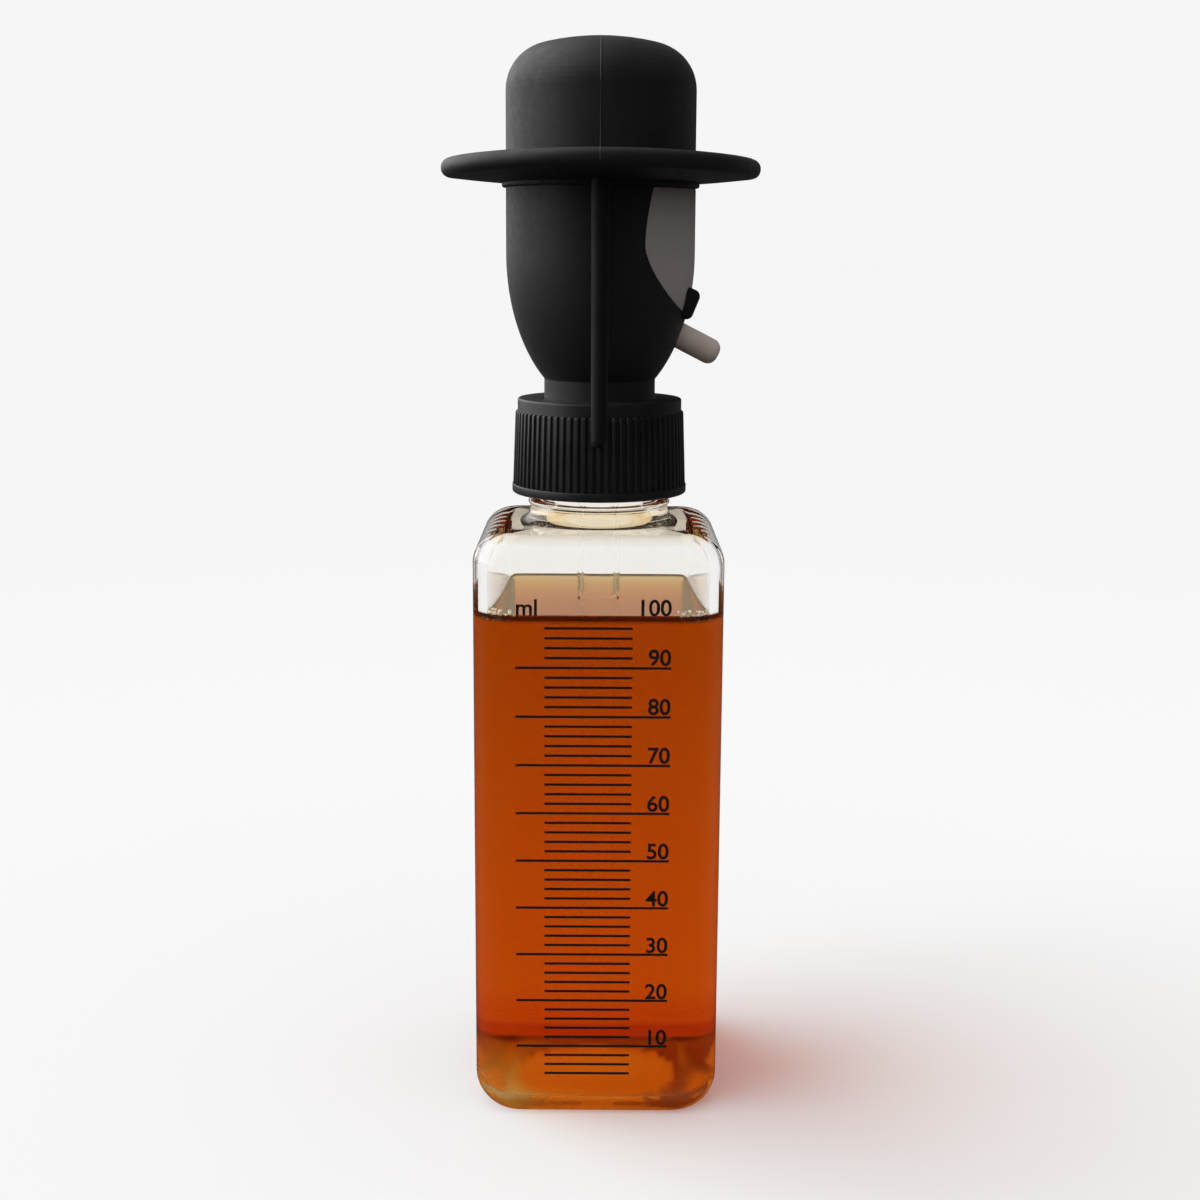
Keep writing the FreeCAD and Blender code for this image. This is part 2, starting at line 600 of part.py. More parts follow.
def squeeze_bulb(head_outside):
    """The hollow head, its neck and flange, and its closed top inside the hat."""
    core = new_body("bulb_core")
    core_sketch = sketch_on(core, "XY_Plane", "core_outline", "Sizes.head_top - Sizes.overrun")
    circle(core_sketch, "Sizes.core_radius")
    pad(core, "core_pad", core_sketch, "Sizes.core_top - Sizes.head_top + Sizes.overrun")
    high = value("Sizes.core_top")
    round_edges(core, "core_rounding", "Sizes.core_round", lambda e: lies_at(e, high))
    neck = cylinder("bulb_neck", "Sizes.bulb_neck", HOLDER_FLANGE_TOP, "(Sizes.holder_top + Sizes.overrun)")
    flange = cylinder("bulb_flange", "Sizes.flange_radius", HOLDER_FLANGE_TOP, BULB_FLANGE_TOP)
    outside = fuse("bulb_outside", head_outside, core, neck, flange)
    hollow = fuse(
        "bulb_hollow", head_form("head_hollow", "Sizes.bulb_wall"),
        cylinder("neck_hollow", "Sizes.bulb_bore", f"({HOLDER_FLANGE_TOP} - Sizes.overrun)",
                 "(Sizes.holder_top + 2 * Sizes.overrun)"),
        cylinder("core_hollow", CORE_BORE, UNDER_SHOULDER, "(Sizes.core_top - Sizes.core_round)"))
    lower_hollow = cut("hollow_under_shoulder", hollow, shoulder_ring())
    shell = cut("bulb_shell", outside, lower_hollow)
    recess_floor = head_form("recess_floor", "(Sizes.panel_thickness + Sizes.running_gap)")
    recess = cut("face_recess", panel_prism("recess_shape", "Sizes.running_gap"), recess_floor)
    socket_floor = head_form("socket_floor", "(Sizes.rod_socket + Sizes.running_gap)")
    socket_blank = rod_blank("socket_blank", "Sizes.running_gap", "2 * Sizes.overrun")
    socket = cut("rod_socket_cut", socket_blank, socket_floor)
    return cut("squeeze_bulb", shell, fuse("bulb_recesses", recess, socket))


def shoulder_ring():
    """Keeps silicone under the step that the hat sits on."""
    ring = cylinder("shoulder_disc", "Sizes.head_radius", "(Sizes.head_top - Sizes.bulb_wall)",
                    "Sizes.head_top")
    hole = cylinder("shoulder_hole", CORE_BORE, UNDER_SHOULDER, "(Sizes.head_top + Sizes.overrun)")
    return cut("shoulder_ring", ring, hole)


def hat_shell():
    """Crown and brim in one shell, with a socket under the brim for each strand."""
    body = new_body("hat_blank")
    inner = "(Sizes.core_radius + Sizes.hat_clearance)"
    rim_low = "(Sizes.brim_root_low + Sizes.brim_rise)"
    revolve(body, "hat_turned", [
        (inner, "Sizes.brim_root_low"),
        ("Sizes.crown_radius", "Sizes.brim_root_low"),
        ("Sizes.brim_radius", rim_low),
        ("Sizes.brim_radius", f"{rim_low} + Sizes.brim_thickness"),
        ("Sizes.crown_radius", "Sizes.brim_root_low + Sizes.brim_thickness"),
        ("Sizes.crown_radius", "Sizes.crown_edge"),
        ("Sizes.crown_radius / 2", "Sizes.crown_top - Sizes.crown_sag"),
        ("0", "Sizes.crown_top"),
        ("0", "Sizes.core_top + Sizes.hat_clearance"),
        (inner, "Sizes.core_top + Sizes.hat_clearance")])
    edge_height = value("Sizes.crown_edge")
    round_edges(body, "crown_rounding", "Sizes.crown_round", lambda e: lies_at(e, edge_height))
    rim = value("Sizes.brim_radius")
    round_edges(body, "brim_rounding", "Sizes.brim_round",
                lambda e: e.BoundBox.XMax > rim - NEAR_RIM and e.BoundBox.ZLength < SAME_PLACE)
    core_end = value("Sizes.core_top + Sizes.hat_clearance")
    round_edges(body, "crown_inside", "Sizes.core_round - 2 * Sizes.hat_clearance",
                lambda e: lies_at(e, core_end))
    sockets = [strand_form(f"socket_{side}", side, "Sizes.strand_gap") for side in ("near", "far")]
    return cut("hat_shell", body, fuse("strand_sockets", *sockets))


def hat_band():
    top = "Sizes.brim_root_low"
    bottom = f"({top} - Sizes.band_ring_height)"
    ring = cylinder("band_disc", "Sizes.band_ring_radius", bottom, top)
    hole = cylinder("band_hole", "Sizes.head_radius + Sizes.snug_gap", f"({bottom} - Sizes.overrun)",
                    f"({top} + Sizes.overrun)")
    return cut("hat_band", ring, hole)


def strand_form(name, side, growth):
    """A tapered strand that hangs straight down, with round ends, grown all round."""
    body = new_body(name)
    top_radius = f"(Sizes.strand_top_radius + {growth})"
    end_radius = f"(Sizes.strand_end_radius + {growth})"
    top, bottom = f"Sizes.strand_top + {top_radius}", f"Sizes.strand_bottom - {growth}"
    revolve(body, f"{name}_turned", [("0", bottom), (end_radius, bottom), (top_radius, top), ("0", top)])
    low, high = value(bottom), value(top)
    round_edges(body, f"{name}_end", f"{end_radius} * {END_ROUNDING}", lambda e: lies_at(e, low))
    round_edges(body, f"{name}_knob", f"{top_radius} * {END_ROUNDING}", lambda e: lies_at(e, high))
    sign = -1 if side == "near" else 1
    body.setExpression("Placement.Base.y", f"{sign} * Sizes.strand_reach")
    return body


# ---- build, check and write ----

def build():
    fill_sheet()
    head_outside = head_form("head_outside", "0")
    doc.recompute()
    parts = [
        glass_bottle(), liquid_fill(), scale_print(), screw_cap(), sealing_washer(),
        pipette_holder(), glass_pipette(), squeeze_bulb(head_outside), hat_shell(), hat_band(),
        face_panel(head_outside), face_bar(), pale_rod(),
        strand_form("side_strand_near", "near", "0"), strand_form("side_strand_far", "far", "0")]
    doc.recompute()
    for item in doc.Objects:
        if "Invalid" in item.State or "Error" in item.State:
            raise RuntimeError(f"{item.Name} is in state {item.State}")
    for part in parts:
        shape = part.Shape
        if shape.isNull() or not shape.isValid() or not shape.Solids:
            raise RuntimeError(f"{part.Label} has no valid shape")
    return parts


def write(parts):
    os.makedirs("parts", exist_ok=True)
    for part in parts:
        part.Shape.exportStep(f"parts/{part.Label}.step")
        box = part.Shape.BoundBox
        print(f"{part.Label}: {len(part.Shape.Solids)} solids, {part.Shape.Volume:.1f} mm3, "
              f"z {box.ZMin:.2f} to {box.ZMax:.2f}")


write(build())
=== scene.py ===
"""Looks of the medicine dropper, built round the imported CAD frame. Lengths are in metres."""
import math
import random

import bmesh
import bpy
from mathutils import Matrix, Vector


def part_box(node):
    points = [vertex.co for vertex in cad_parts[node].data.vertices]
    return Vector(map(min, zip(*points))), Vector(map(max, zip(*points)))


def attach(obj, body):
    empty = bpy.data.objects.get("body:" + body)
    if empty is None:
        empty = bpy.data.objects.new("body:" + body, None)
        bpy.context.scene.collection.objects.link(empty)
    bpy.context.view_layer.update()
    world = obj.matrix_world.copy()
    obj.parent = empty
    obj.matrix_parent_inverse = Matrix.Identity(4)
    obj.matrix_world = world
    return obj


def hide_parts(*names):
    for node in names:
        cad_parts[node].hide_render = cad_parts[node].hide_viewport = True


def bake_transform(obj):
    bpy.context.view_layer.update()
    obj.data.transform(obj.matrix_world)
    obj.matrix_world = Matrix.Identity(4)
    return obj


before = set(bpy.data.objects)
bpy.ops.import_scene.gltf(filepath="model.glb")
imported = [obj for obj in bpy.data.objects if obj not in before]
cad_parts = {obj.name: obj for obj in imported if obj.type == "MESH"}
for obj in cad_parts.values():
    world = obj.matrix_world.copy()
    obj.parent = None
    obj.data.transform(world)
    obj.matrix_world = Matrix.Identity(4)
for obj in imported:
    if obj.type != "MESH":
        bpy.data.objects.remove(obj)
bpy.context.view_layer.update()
MM = 0.001
SMOOTH_ANGLE = math.radians(38)


# ---- mesh helpers ----

def arc(centre_r, centre_z, radius, start, end, steps=8):
    """Profile points on an arc: 0 degrees points outwards and 90 up."""
    points = []
    for i in range(steps + 1):
        angle = math.radians(start + (end - start) * i / steps)
        points.append((centre_r + radius * math.cos(angle), centre_z + radius * math.sin(angle)))
    return points


def with_supports(profile, margin=0.12 * MM, longest=6 * MM):
    """The profile with points added near the ends of long runs, which keeps their shading flat."""
    result = [profile[0]]
    for (r0, z0), (r1, z1) in zip(profile, profile[1:]):
        length = math.hypot(r1 - r0, z1 - z0)
        if length > 5 * margin:
            inner = max(1, round(length / longest))
            between = [i / inner for i in range(1, inner)]
            shares = [margin / length] + between + [1 - margin / length]
            result += [(r0 + (r1 - r0) * t, z0 + (z1 - z0) * t) for t in shares]
        result.append((r1, z1))
    return result


def skin(name, rings, loop=False):
    """A mesh through rings of points; a ring of one point is a pole, and loop joins the ends."""
    mesh = bpy.data.meshes.new(name)
    verts, starts = [], []
    for ring in rings:
        starts.append(len(verts))
        verts += ring
    faces = []
    pairs = list(zip(range(len(rings)), range(1, len(rings))))
    if loop:
        pairs.append((len(rings) - 1, 0))
    for a, b in pairs:
        na, nb = len(rings[a]), len(rings[b])
        count = max(na, nb)
        for i in range(count):
            j = (i + 1) % count
            corners = [starts[a] + i % na, starts[a] + j % na,
                       starts[b] + j % nb, starts[b] + i % nb]
            faces.append(list(dict.fromkeys(corners)))
    mesh.from_pydata([tuple(v) for v in verts], [], faces)
    return finish_mesh(name, mesh)


def finish_mesh(name, mesh):
    """An object of the mesh, with outward normals and smooth shading between sharp edges."""
    shape = bmesh.new()
    shape.from_mesh(mesh)
    bmesh.ops.recalc_face_normals(shape, faces=shape.faces)
    shape.to_mesh(mesh)
    shape.free()
    mesh.polygons.foreach_set("use_smooth", [True] * len(mesh.polygons))
    mesh.set_sharp_from_angle(angle=SMOOTH_ANGLE)
    piece = bpy.data.objects.new(name, mesh)
    bpy.context.scene.collection.objects.link(piece)
    return piece


def lathe(name, profile, angles=128, loop=False, bend=None):
    """Turns a profile round the Z axis. bend(angle, r, z) may move each point first."""
    if isinstance(angles, int):
        angles = [2 * math.pi * i / angles for i in range(angles)]
    rings = []
    for r, z in profile:
        if r < 1e-7:
            rings.append([Vector((0, 0, z))])
            continue
        ring = []
        for angle in angles:
            rr, zz = bend(angle, r, z) if bend else (r, z)
            ring.append(Vector((rr * math.cos(angle), rr * math.sin(angle), zz)))
        rings.append(ring)
    return skin(name, rings, loop)


def rounded_square(half, radius, z, arc_steps=24, margin=0.3 * MM):
    """A ring of points round a square with rounded corners, with supports beside each corner."""
    points = []
    flat = half - radius
    for corner in range(4):
        turn = Matrix.Rotation(math.radians(90 * corner), 3, "Z")
        for i in range(arc_steps + 1):
            angle = math.radians(90 * i / arc_steps)
            x, y = flat + radius * math.cos(angle), flat + radius * math.sin(angle)
            points.append(turn @ Vector((x, y, z)))
        for x in [flat - margin] + [flat * (1 - i / 6) for i in range(1, 12)] + [-flat + margin]:
            points.append(turn @ Vector((x, half, z)))
    return points


def lower_edge(half, corner, base, wide, tight, turn):
    """A ring of a rounded lower edge: wide at the left and right, tight at the front and back.

    turn goes from 0 under the edge to 90 degrees where the wall starts.
    """
    ring = rounded_square(half, corner, 0)
    for p in ring:
        across = abs(p.x) / (abs(p.x) + abs(p.y))
        share = min(1.0, max(0.0, (across - 0.38) / 0.24))
        rounding = tight + (wide - tight) * share * share * (3 - 2 * share)
        scale = 1 - rounding * (1 - math.sin(turn)) / half
        p.x, p.y, p.z = p.x * scale, p.y * scale, base + rounding * (1 - math.cos(turn))
    return ring


def domed(edge, base, rise, reach):
    """Rings from the middle of a flat floor out to its edge ring; it rises in a round dome."""
    rings = [[Vector((0, 0, base + rise))]]
    for share in (0.15, 0.3, 0.45, 0.6, 0.72, 0.82, 0.9, 0.96):
        ring = []
        for p in edge:
            away = Vector((p.x, p.y, 0)) * share
            height = rise * (1 + math.cos(math.pi * min(1.0, away.length / reach))) / 2
            ring.append(away + Vector((0, 0, base + height)))
        rings.append(ring)
    return rings


def to_circle(ring, radius, z):
    """The ring's points moved along their own directions onto a circle."""
    return [Vector((p.x, p.y, 0)).normalized() * radius + Vector((0, 0, z)) for p in ring]


def second_material(piece, material, wanted):
    """Gives a second material to the wanted faces."""
    piece.data.materials.append(material)
    for face in piece.data.polygons:
        if wanted(face):
            face.material_index = 1


def add_piece(piece, body, slot, material, *nodes):
    """Gives the piece its material and its body, and hides the CAD nodes that it replaces."""
    piece.data.materials.clear()
    piece.data.materials.append(material)
    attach(piece, body)
    if nodes:
        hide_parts(*nodes)
    return piece


# ---- materials ----

def new_material(name, colour, roughness, specular=0.5):
    material = bpy.data.materials.new(name)
    material.use_nodes = True
    shader = material.node_tree.nodes["Principled BSDF"]
    shader.inputs["Base Color"].default_value = (*colour, 1)
    shader.inputs["Roughness"].default_value = roughness
    shader.inputs["Specular IOR Level"].default_value = specular
    return material


def node(material, kind, **values):
    item = material.node_tree.nodes.new(kind)
    for key, value in values.items():
        if key in item.inputs:
            item.inputs[key].default_value = value
        else:
            setattr(item, key.lower(), value)
    return item


def link(material, output, target):
    material.node_tree.links.new(output, target)


def noise(material, scale, detail=3.0, stretch=(1, 1, 1)):
    """Noise over the piece's own coordinates; scale is in features per metre."""
    where = node(material, "ShaderNodeTexCoord")
    mapping = node(material, "ShaderNodeMapping", Scale=stretch)
    texture = node(material, "ShaderNodeTexNoise", Scale=scale, Detail=detail)
    link(material, where.outputs["Object"], mapping.inputs["Vector"])
    link(material, mapping.outputs["Vector"], texture.inputs["Vector"])
    return texture.outputs["Fac"]


def vary(material, source, socket, lowest, highest):
    """Drives a socket of the shader between two values by a noise."""
    shader = material.node_tree.nodes["Principled BSDF"]
    if socket == "Base Color":
        ramp = node(material, "ShaderNodeValToRGB")
        ramp.color_ramp.elements[0].position = 0.3
        ramp.color_ramp.elements[1].position = 0.7
        ramp.color_ramp.elements[0].color = (*lowest, 1)
        ramp.color_ramp.elements[1].color = (*highest, 1)
        link(material, source, ramp.inputs["Fac"])
        link(material, ramp.outputs["Color"], shader.inputs[socket])
        return
    span = node(material, "ShaderNodeMapRange")
    span.inputs["From Min"].default_value = 0.3
    span.inputs["From Max"].default_value = 0.7
    span.inputs["To Min"].default_value = lowest
    span.inputs["To Max"].default_value = highest
    link(material, source, span.inputs["Value"])
    link(material, span.outputs["Result"], shader.inputs[socket])


def bump(material, source, depth, strength):
    shader = material.node_tree.nodes["Principled BSDF"]
    relief = node(material, "ShaderNodeBump", Distance=depth, Strength=strength)
    link(material, source, relief.inputs["Height"])
    link(material, relief.outputs["Normal"], shader.inputs["Normal"])


def silicone(name, colour, lighter, specular=0.35):
    """Matte moulded silicone: fine grain, faint cloudy tone, a soft sheen at its edges."""
    material = new_material(name, colour, 0.55, specular)
    shader = material.node_tree.nodes["Principled BSDF"]
    shader.inputs["Sheen Weight"].default_value = 0.03
    shader.inputs["Sheen Roughness"].default_value = 0.45
    vary(material, noise(material, 160, 4.0), "Base Color", colour, lighter)
    vary(material, noise(material, 900, 3.0), "Roughness", 0.5, 0.6)
    bump(material, noise(material, 9000, 2.0), 0.012 * MM, 0.6)
    return material


def cap_plastic():
    """Satin moulded polypropylene."""
    material = new_material("cap_plastic", (0.012, 0.012, 0.013), 0.38, specular=0.36)
    cloudy = noise(material, 220, 3.0)
    vary(material, cloudy, "Base Color", (0.010, 0.010, 0.011), (0.016, 0.016, 0.017))
    vary(material, noise(material, 1500, 3.0), "Roughness", 0.33, 0.45)
    bump(material, noise(material, 7000, 2.0), 0.006 * MM, 0.5)
    return material


def lets_light_through(material, shader):
    """For rays from lamps the surface is a plain window, so its shadow isn't black."""
    nodes = material.node_tree.nodes
    window = node(material, "ShaderNodeBsdfTransparent", Color=(1, 1, 1, 1))
    path = node(material, "ShaderNodeLightPath")
    mix = node(material, "ShaderNodeMixShader")
    link(material, path.outputs["Is Shadow Ray"], mix.inputs["Fac"])
    link(material, shader.outputs["BSDF"], mix.inputs[1])
    link(material, window.outputs["BSDF"], mix.inputs[2])
    link(material, mix.outputs["Shader"], nodes["Material Output"].inputs["Surface"])


def clear(name, ior, shine, absorb=None, density=0.0):
    """A clear substance; shine tints its reflections, and absorb is the colour of its depth."""
    material = new_material(name, (1, 1, 1), 0.0)
    shader = material.node_tree.nodes["Principled BSDF"]
    shader.inputs["Transmission Weight"].default_value = 1.0
    shader.inputs["IOR"].default_value = ior
    shader.inputs["Specular Tint"].default_value = (*shine, 1)
    if absorb:
        volume = node(material, "ShaderNodeVolumeAbsorption", Color=(*absorb, 1), Density=density)
        output = material.node_tree.nodes["Material Output"]
        link(material, volume.outputs["Volume"], output.inputs["Volume"])
    lets_light_through(material, shader)
    return material


def golden_film(name, ior, colour):
    """The top face of the liquid: what it reflects takes on the liquid's golden tone."""
    material = bpy.data.materials.new(name)
    material.use_nodes = True
    nodes = material.node_tree.nodes
    nodes.remove(nodes["Principled BSDF"])
    surface = node(material, "ShaderNodeBsdfGlass", Color=(*colour, 1), Roughness=0.0, IOR=ior)
    lets_light_through(material, surface)
    return material


def by_height(material, lowest, highest):
    """A Map Range node that runs from 0 at one height to 1 at another."""
    where = node(material, "ShaderNodeTexCoord")
    split = node(material, "ShaderNodeSeparateXYZ")
    span = node(material, "ShaderNodeMapRange")
    span.inputs["From Min"].default_value = lowest
    span.inputs["From Max"].default_value = highest
    link(material, where.outputs["Object"], split.inputs["Vector"])
    link(material, split.outputs["Z"], span.inputs["Value"])
    return span


def height_ramp(material, stops):
    """Tints what the material lets through by height; each stop is a height in mm and a colour."""
    lowest, highest = stops[0][0], stops[-1][0]
    span = by_height(material, lowest * MM, highest * MM)
    ramp = node(material, "ShaderNodeValToRGB")
    elements = ramp.color_ramp.elements
    while len(elements) < len(stops):
        elements.new(0.5)
    for element, (height, colour) in zip(elements, stops):
        element.position = (height - lowest) / (highest - lowest)
        element.color = (*colour, 1)
    link(material, span.outputs["Result"], ramp.inputs["Fac"])
    shader = material.node_tree.nodes["Principled BSDF"]
    link(material, ramp.outputs["Color"], shader.inputs["Base Color"])


def bottle_glass(name, ior, stops, stipple):
    """Moulded glass with faint waves from the mould, and a base with a fine stipple.

    The index is against what the glass touches, stops tint it by height, and stipple is the
    base's roughness.
    """
    material = clear(name, ior, (0.5, 0.45, 0.38))
    height_ramp(material, stops)
    span = by_height(material, STIPPLE_LOW, STIPPLE_TOP)
    span.inputs["To Min"].default_value = stipple
    span.inputs["To Max"].default_value = 0.0
    shader = material.node_tree.nodes["Principled BSDF"]
    link(material, span.outputs["Result"], shader.inputs["Roughness"])
    bump(material, noise(material, 60, 1.0, (1, 1, 0.35)), 0.03 * MM, 0.25)
    return material


def amber_liquid():
    """Its sides don't bend light, because the wet glass and the film on top of it already do."""
    material = clear("amber_liquid", MATCHED, NO_SHINE, absorb=(0.922, 0.645, 0.03), density=205.0)
    # Painted shade: the liquid lets less light through towards its top, so it looks darker higher
    # up.
    height_ramp(material, ((10, (1.0, 1.0, 1.0)), (75, (0.64, 0.62, 0.60))))
    return material


def ink():
    material = new_material("ink", (0.006, 0.006, 0.007), 0.45)
    vary(material, noise(material, 3000, 2.0), "Roughness", 0.38, 0.55)
    bump(material, noise(material, 9000, 2.0), 0.004 * MM, 0.5)
    return material


def plain_plastic(name, colour, darker, roughness=0.42):
    material = new_material(name, colour, roughness)
    vary(material, noise(material, 400, 3.0), "Base Color", darker, colour)
    vary(material, noise(material, 2500, 2.0), "Roughness", roughness - 0.05, roughness + 0.06)
    bump(material, noise(material, 8000, 2.0), 0.008 * MM, 0.5)
    return material


STIPPLE_LOW, STIPPLE_TOP = 2.5 * MM, 8.0 * MM
GLASS_INDEX, LIQUID_INDEX = 1.5, 1.36
MATCHED, NO_SHINE = 1.01, (0, 0, 0)  # for a surface between two substances that bend light alike
# Painted reflection: the tan tint of the glass round the shoulder stands in for the liquid's amber
# light reflected there. PLAIN is the glass's own faint tint.
PLAIN, SHOULDER_PAINTED_REFLECTION = (0.985, 0.975, 0.955), (0.94, 0.82, 0.60)
# Painted light: the amber tints low in the glass stand in for the glow of the liquid's light caught
# in the base. They are not a colour of the glass.
BASE_PAINTED_GLOW_DEEP, BASE_PAINTED_GLOW = (0.62, 0.15, 0.005), (0.93, 0.56, 0.11)
# Painted shade: a dark band in the wet glass just under the liquid's level, standing in for the
# shade where the curved surface turns light away.
MENISCUS_PAINTED_SHADE = (0.03, 0.02, 0.02)
# The glass is tinted by height: painted amber glow in the base, clear glass, and a painted tan
# reflection round the shoulder.
GLASS = bottle_glass("bottle_glass", GLASS_INDEX, (
    (0, BASE_PAINTED_GLOW_DEEP), (2.4, BASE_PAINTED_GLOW_DEEP), (3.4, BASE_PAINTED_GLOW), (5.5, BASE_PAINTED_GLOW), (9.5, PLAIN),
    (94.5, PLAIN), (96.0, SHOULDER_PAINTED_REFLECTION), (98.0, SHOULDER_PAINTED_REFLECTION), (100.0, PLAIN)), 0.24)
PIPETTE_GLASS = clear("pipette_glass", 1.14, (0.6, 0.6, 0.6))
SUNK_GLASS = clear("sunk_glass", MATCHED, NO_SHINE)
LIQUID = amber_liquid()
FILM = golden_film("liquid_surface", LIQUID_INDEX, (0.97, 0.79, 0.50))
UNDER_FILM = clear("under_surface", MATCHED, NO_SHINE)
INK = ink()
CAP = cap_plastic()
BLACK = silicone("black_silicone", (0.010, 0.010, 0.011), (0.014, 0.014, 0.015))
# Painted shade: the strands are the same silicone as the head, made darker and less shiny so that
# they look shaded.
STRAND = silicone("strand_silicone", (0.007, 0.007, 0.008), (0.011, 0.011, 0.012), 0.14)
GREY = silicone("grey_silicone", (0.37, 0.325, 0.33), (0.40, 0.352, 0.358))
BEIGE = plain_plastic("beige_plastic", (0.75, 0.63, 0.55), (0.69, 0.575, 0.50))
NATURAL = plain_plastic("natural_plastic", (0.78, 0.77, 0.74), (0.73, 0.72, 0.69))
# Painted highlight: the bubbles are opaque pale plastic, so they show as bright glints.
BUBBLE_GLINT_PAINT = plain_plastic("bubble_glint", (0.95, 0.88, 0.74), (0.80, 0.62, 0.38), 0.18)
WASHER = plain_plastic("washer_rubber", (0.62, 0.60, 0.55), (0.57, 0.55, 0.50), 0.6)


# ---- sizes read from the frame ----

def high(name):
    """The largest corner of a CAD node's box."""
    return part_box(name)[1]


def low(name):
    """The smallest corner of a CAD node's box."""
    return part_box(name)[0]


BOTTLE_HALF = high("glass_bottle").x
MOUTH_Z = high("glass_bottle").z
LEVEL = high("liquid_fill").z
INNER_HALF = high("liquid_fill").x + 0.02 * MM
CAP_LOW, CAP_TOP = low("screw_cap").z, high("screw_cap").z
CAP_RADIUS = high("screw_cap").x
HEAD_RADIUS = high("squeeze_bulb").x
BRIM_LOW, HAT_TOP = low("hat_shell").z, high("hat_shell").z
BRIM_RADIUS = high("hat_shell").x
STRAND_TOP, STRAND_LOW = high("side_strand_near").z, low("side_strand_near").z
PIPETTE_LOW, PIPETTE_TOP = low("glass_pipette").z, high("glass_pipette").z

SHOULDER_Z = 96.0 * MM
CORNER, SHOULDER_ROUND = 6.5 * MM, 4.8 * MM
FOOT, FRONT_FOOT = 5.2 * MM, 2.1 * MM
PUNT = 0.5 * MM                     # how far the underside rises to its middle
HEEL_Z = 2.2 * MM                   # inside of the base at its edge
FLOOR_ROUND, FRONT_ROUND = 3.6 * MM, 1.6 * MM
FLOOR_CROWN = 1.2 * MM              # how far the cavity's floor rises to its middle
INNER_CORNER, INNER_ROUND = 5.0 * MM, 4.1 * MM
ROOF_Z = 94.7 * MM                  # the cavity's roof, round the bore
BORE, BORE_FLARE = 8.5 * MM, 3.0 * MM
NECK_ROOT, NECK_FILLET = 11.35 * MM, 2.3 * MM
BEAD_Z, BEAD_ROUND = 99.3 * MM, 0.4 * MM
FINISH = 10.75 * MM                 # radius of the neck that carries the thread
LIP_ROUND = 0.65 * MM
STEP = 0.3 * MM                     # from a rounding to the support ring beside it
FLAT_INSET, FLAT_RISE = 0.5 * MM, 0.04 * MM   # from a rounding to the flat's first ring


LEVEL_MM = LEVEL / MM
# The dark stops near the level paint the meniscus's shade into the wet glass.
WET_GLASS = bottle_glass("wet_glass", GLASS_INDEX / LIQUID_INDEX, (
    (0, (1, 1, 1)), (LEVEL_MM - 1.2, (1, 1, 1)),
    (LEVEL_MM - 0.8, MENISCUS_PAINTED_SHADE), (LEVEL_MM, MENISCUS_PAINTED_SHADE)), 0.6)


# ---- the bottle ----

def quarter(steps):
    """Even angles from 0 to 90 degrees."""
    return [math.radians(90 * i / steps) for i in range(steps + 1)]


def bottle_outside():
    """Rings from the middle of the underside up to where the neck starts."""
    foot = [lower_edge(BOTTLE_HALF, CORNER, 0, FOOT, FRONT_FOOT, turn) for turn in quarter(10)]
    rings = domed(foot[0], 0, PUNT, 13 * MM) + foot
    straight = SHOULDER_Z - SHOULDER_ROUND
    for z in (FOOT + STEP, 0.35 * straight, 0.7 * straight, straight - STEP):
        rings.append(rounded_square(BOTTLE_HALF, CORNER, z))
    for turn in quarter(36):
        inset = SHOULDER_ROUND * (1 - math.cos(turn))
        z = straight + SHOULDER_ROUND * math.sin(turn)
        rings.append(rounded_square(BOTTLE_HALF - inset, CORNER - inset, z))
    return rings


def neck_profile():
    """From the root of the neck up over the lip and down the bore to the cavity's roof."""
    root_z = SHOULDER_Z + 0.22 * MM
    points = [(14.1 * MM, SHOULDER_Z + 0.15 * MM)]
    points += arc(NECK_ROOT + NECK_FILLET, root_z + NECK_FILLET, NECK_FILLET, 270, 180, 9)
    points += [(NECK_ROOT, BEAD_Z - 0.55 * MM)] + arc(11.3 * MM, BEAD_Z, BEAD_ROUND, -60, 60, 6)
    points += [(11.3 * MM, BEAD_Z + 0.6 * MM), (FINISH, BEAD_Z + 1.5 * MM)]
    points += [(FINISH, MOUTH_Z - 0.7 * MM)]
    points += arc(FINISH - LIP_ROUND, MOUTH_Z - LIP_ROUND, LIP_ROUND, 0, 90, 5)
    points += arc(BORE + 0.5 * MM, MOUTH_Z - 0.5 * MM, 0.5 * MM, 90, 180, 5)
    points += arc(BORE + BORE_FLARE, ROOF_Z + 0.5 * MM + BORE_FLARE, BORE_FLARE, 180, 262, 9)
    return with_supports(points)


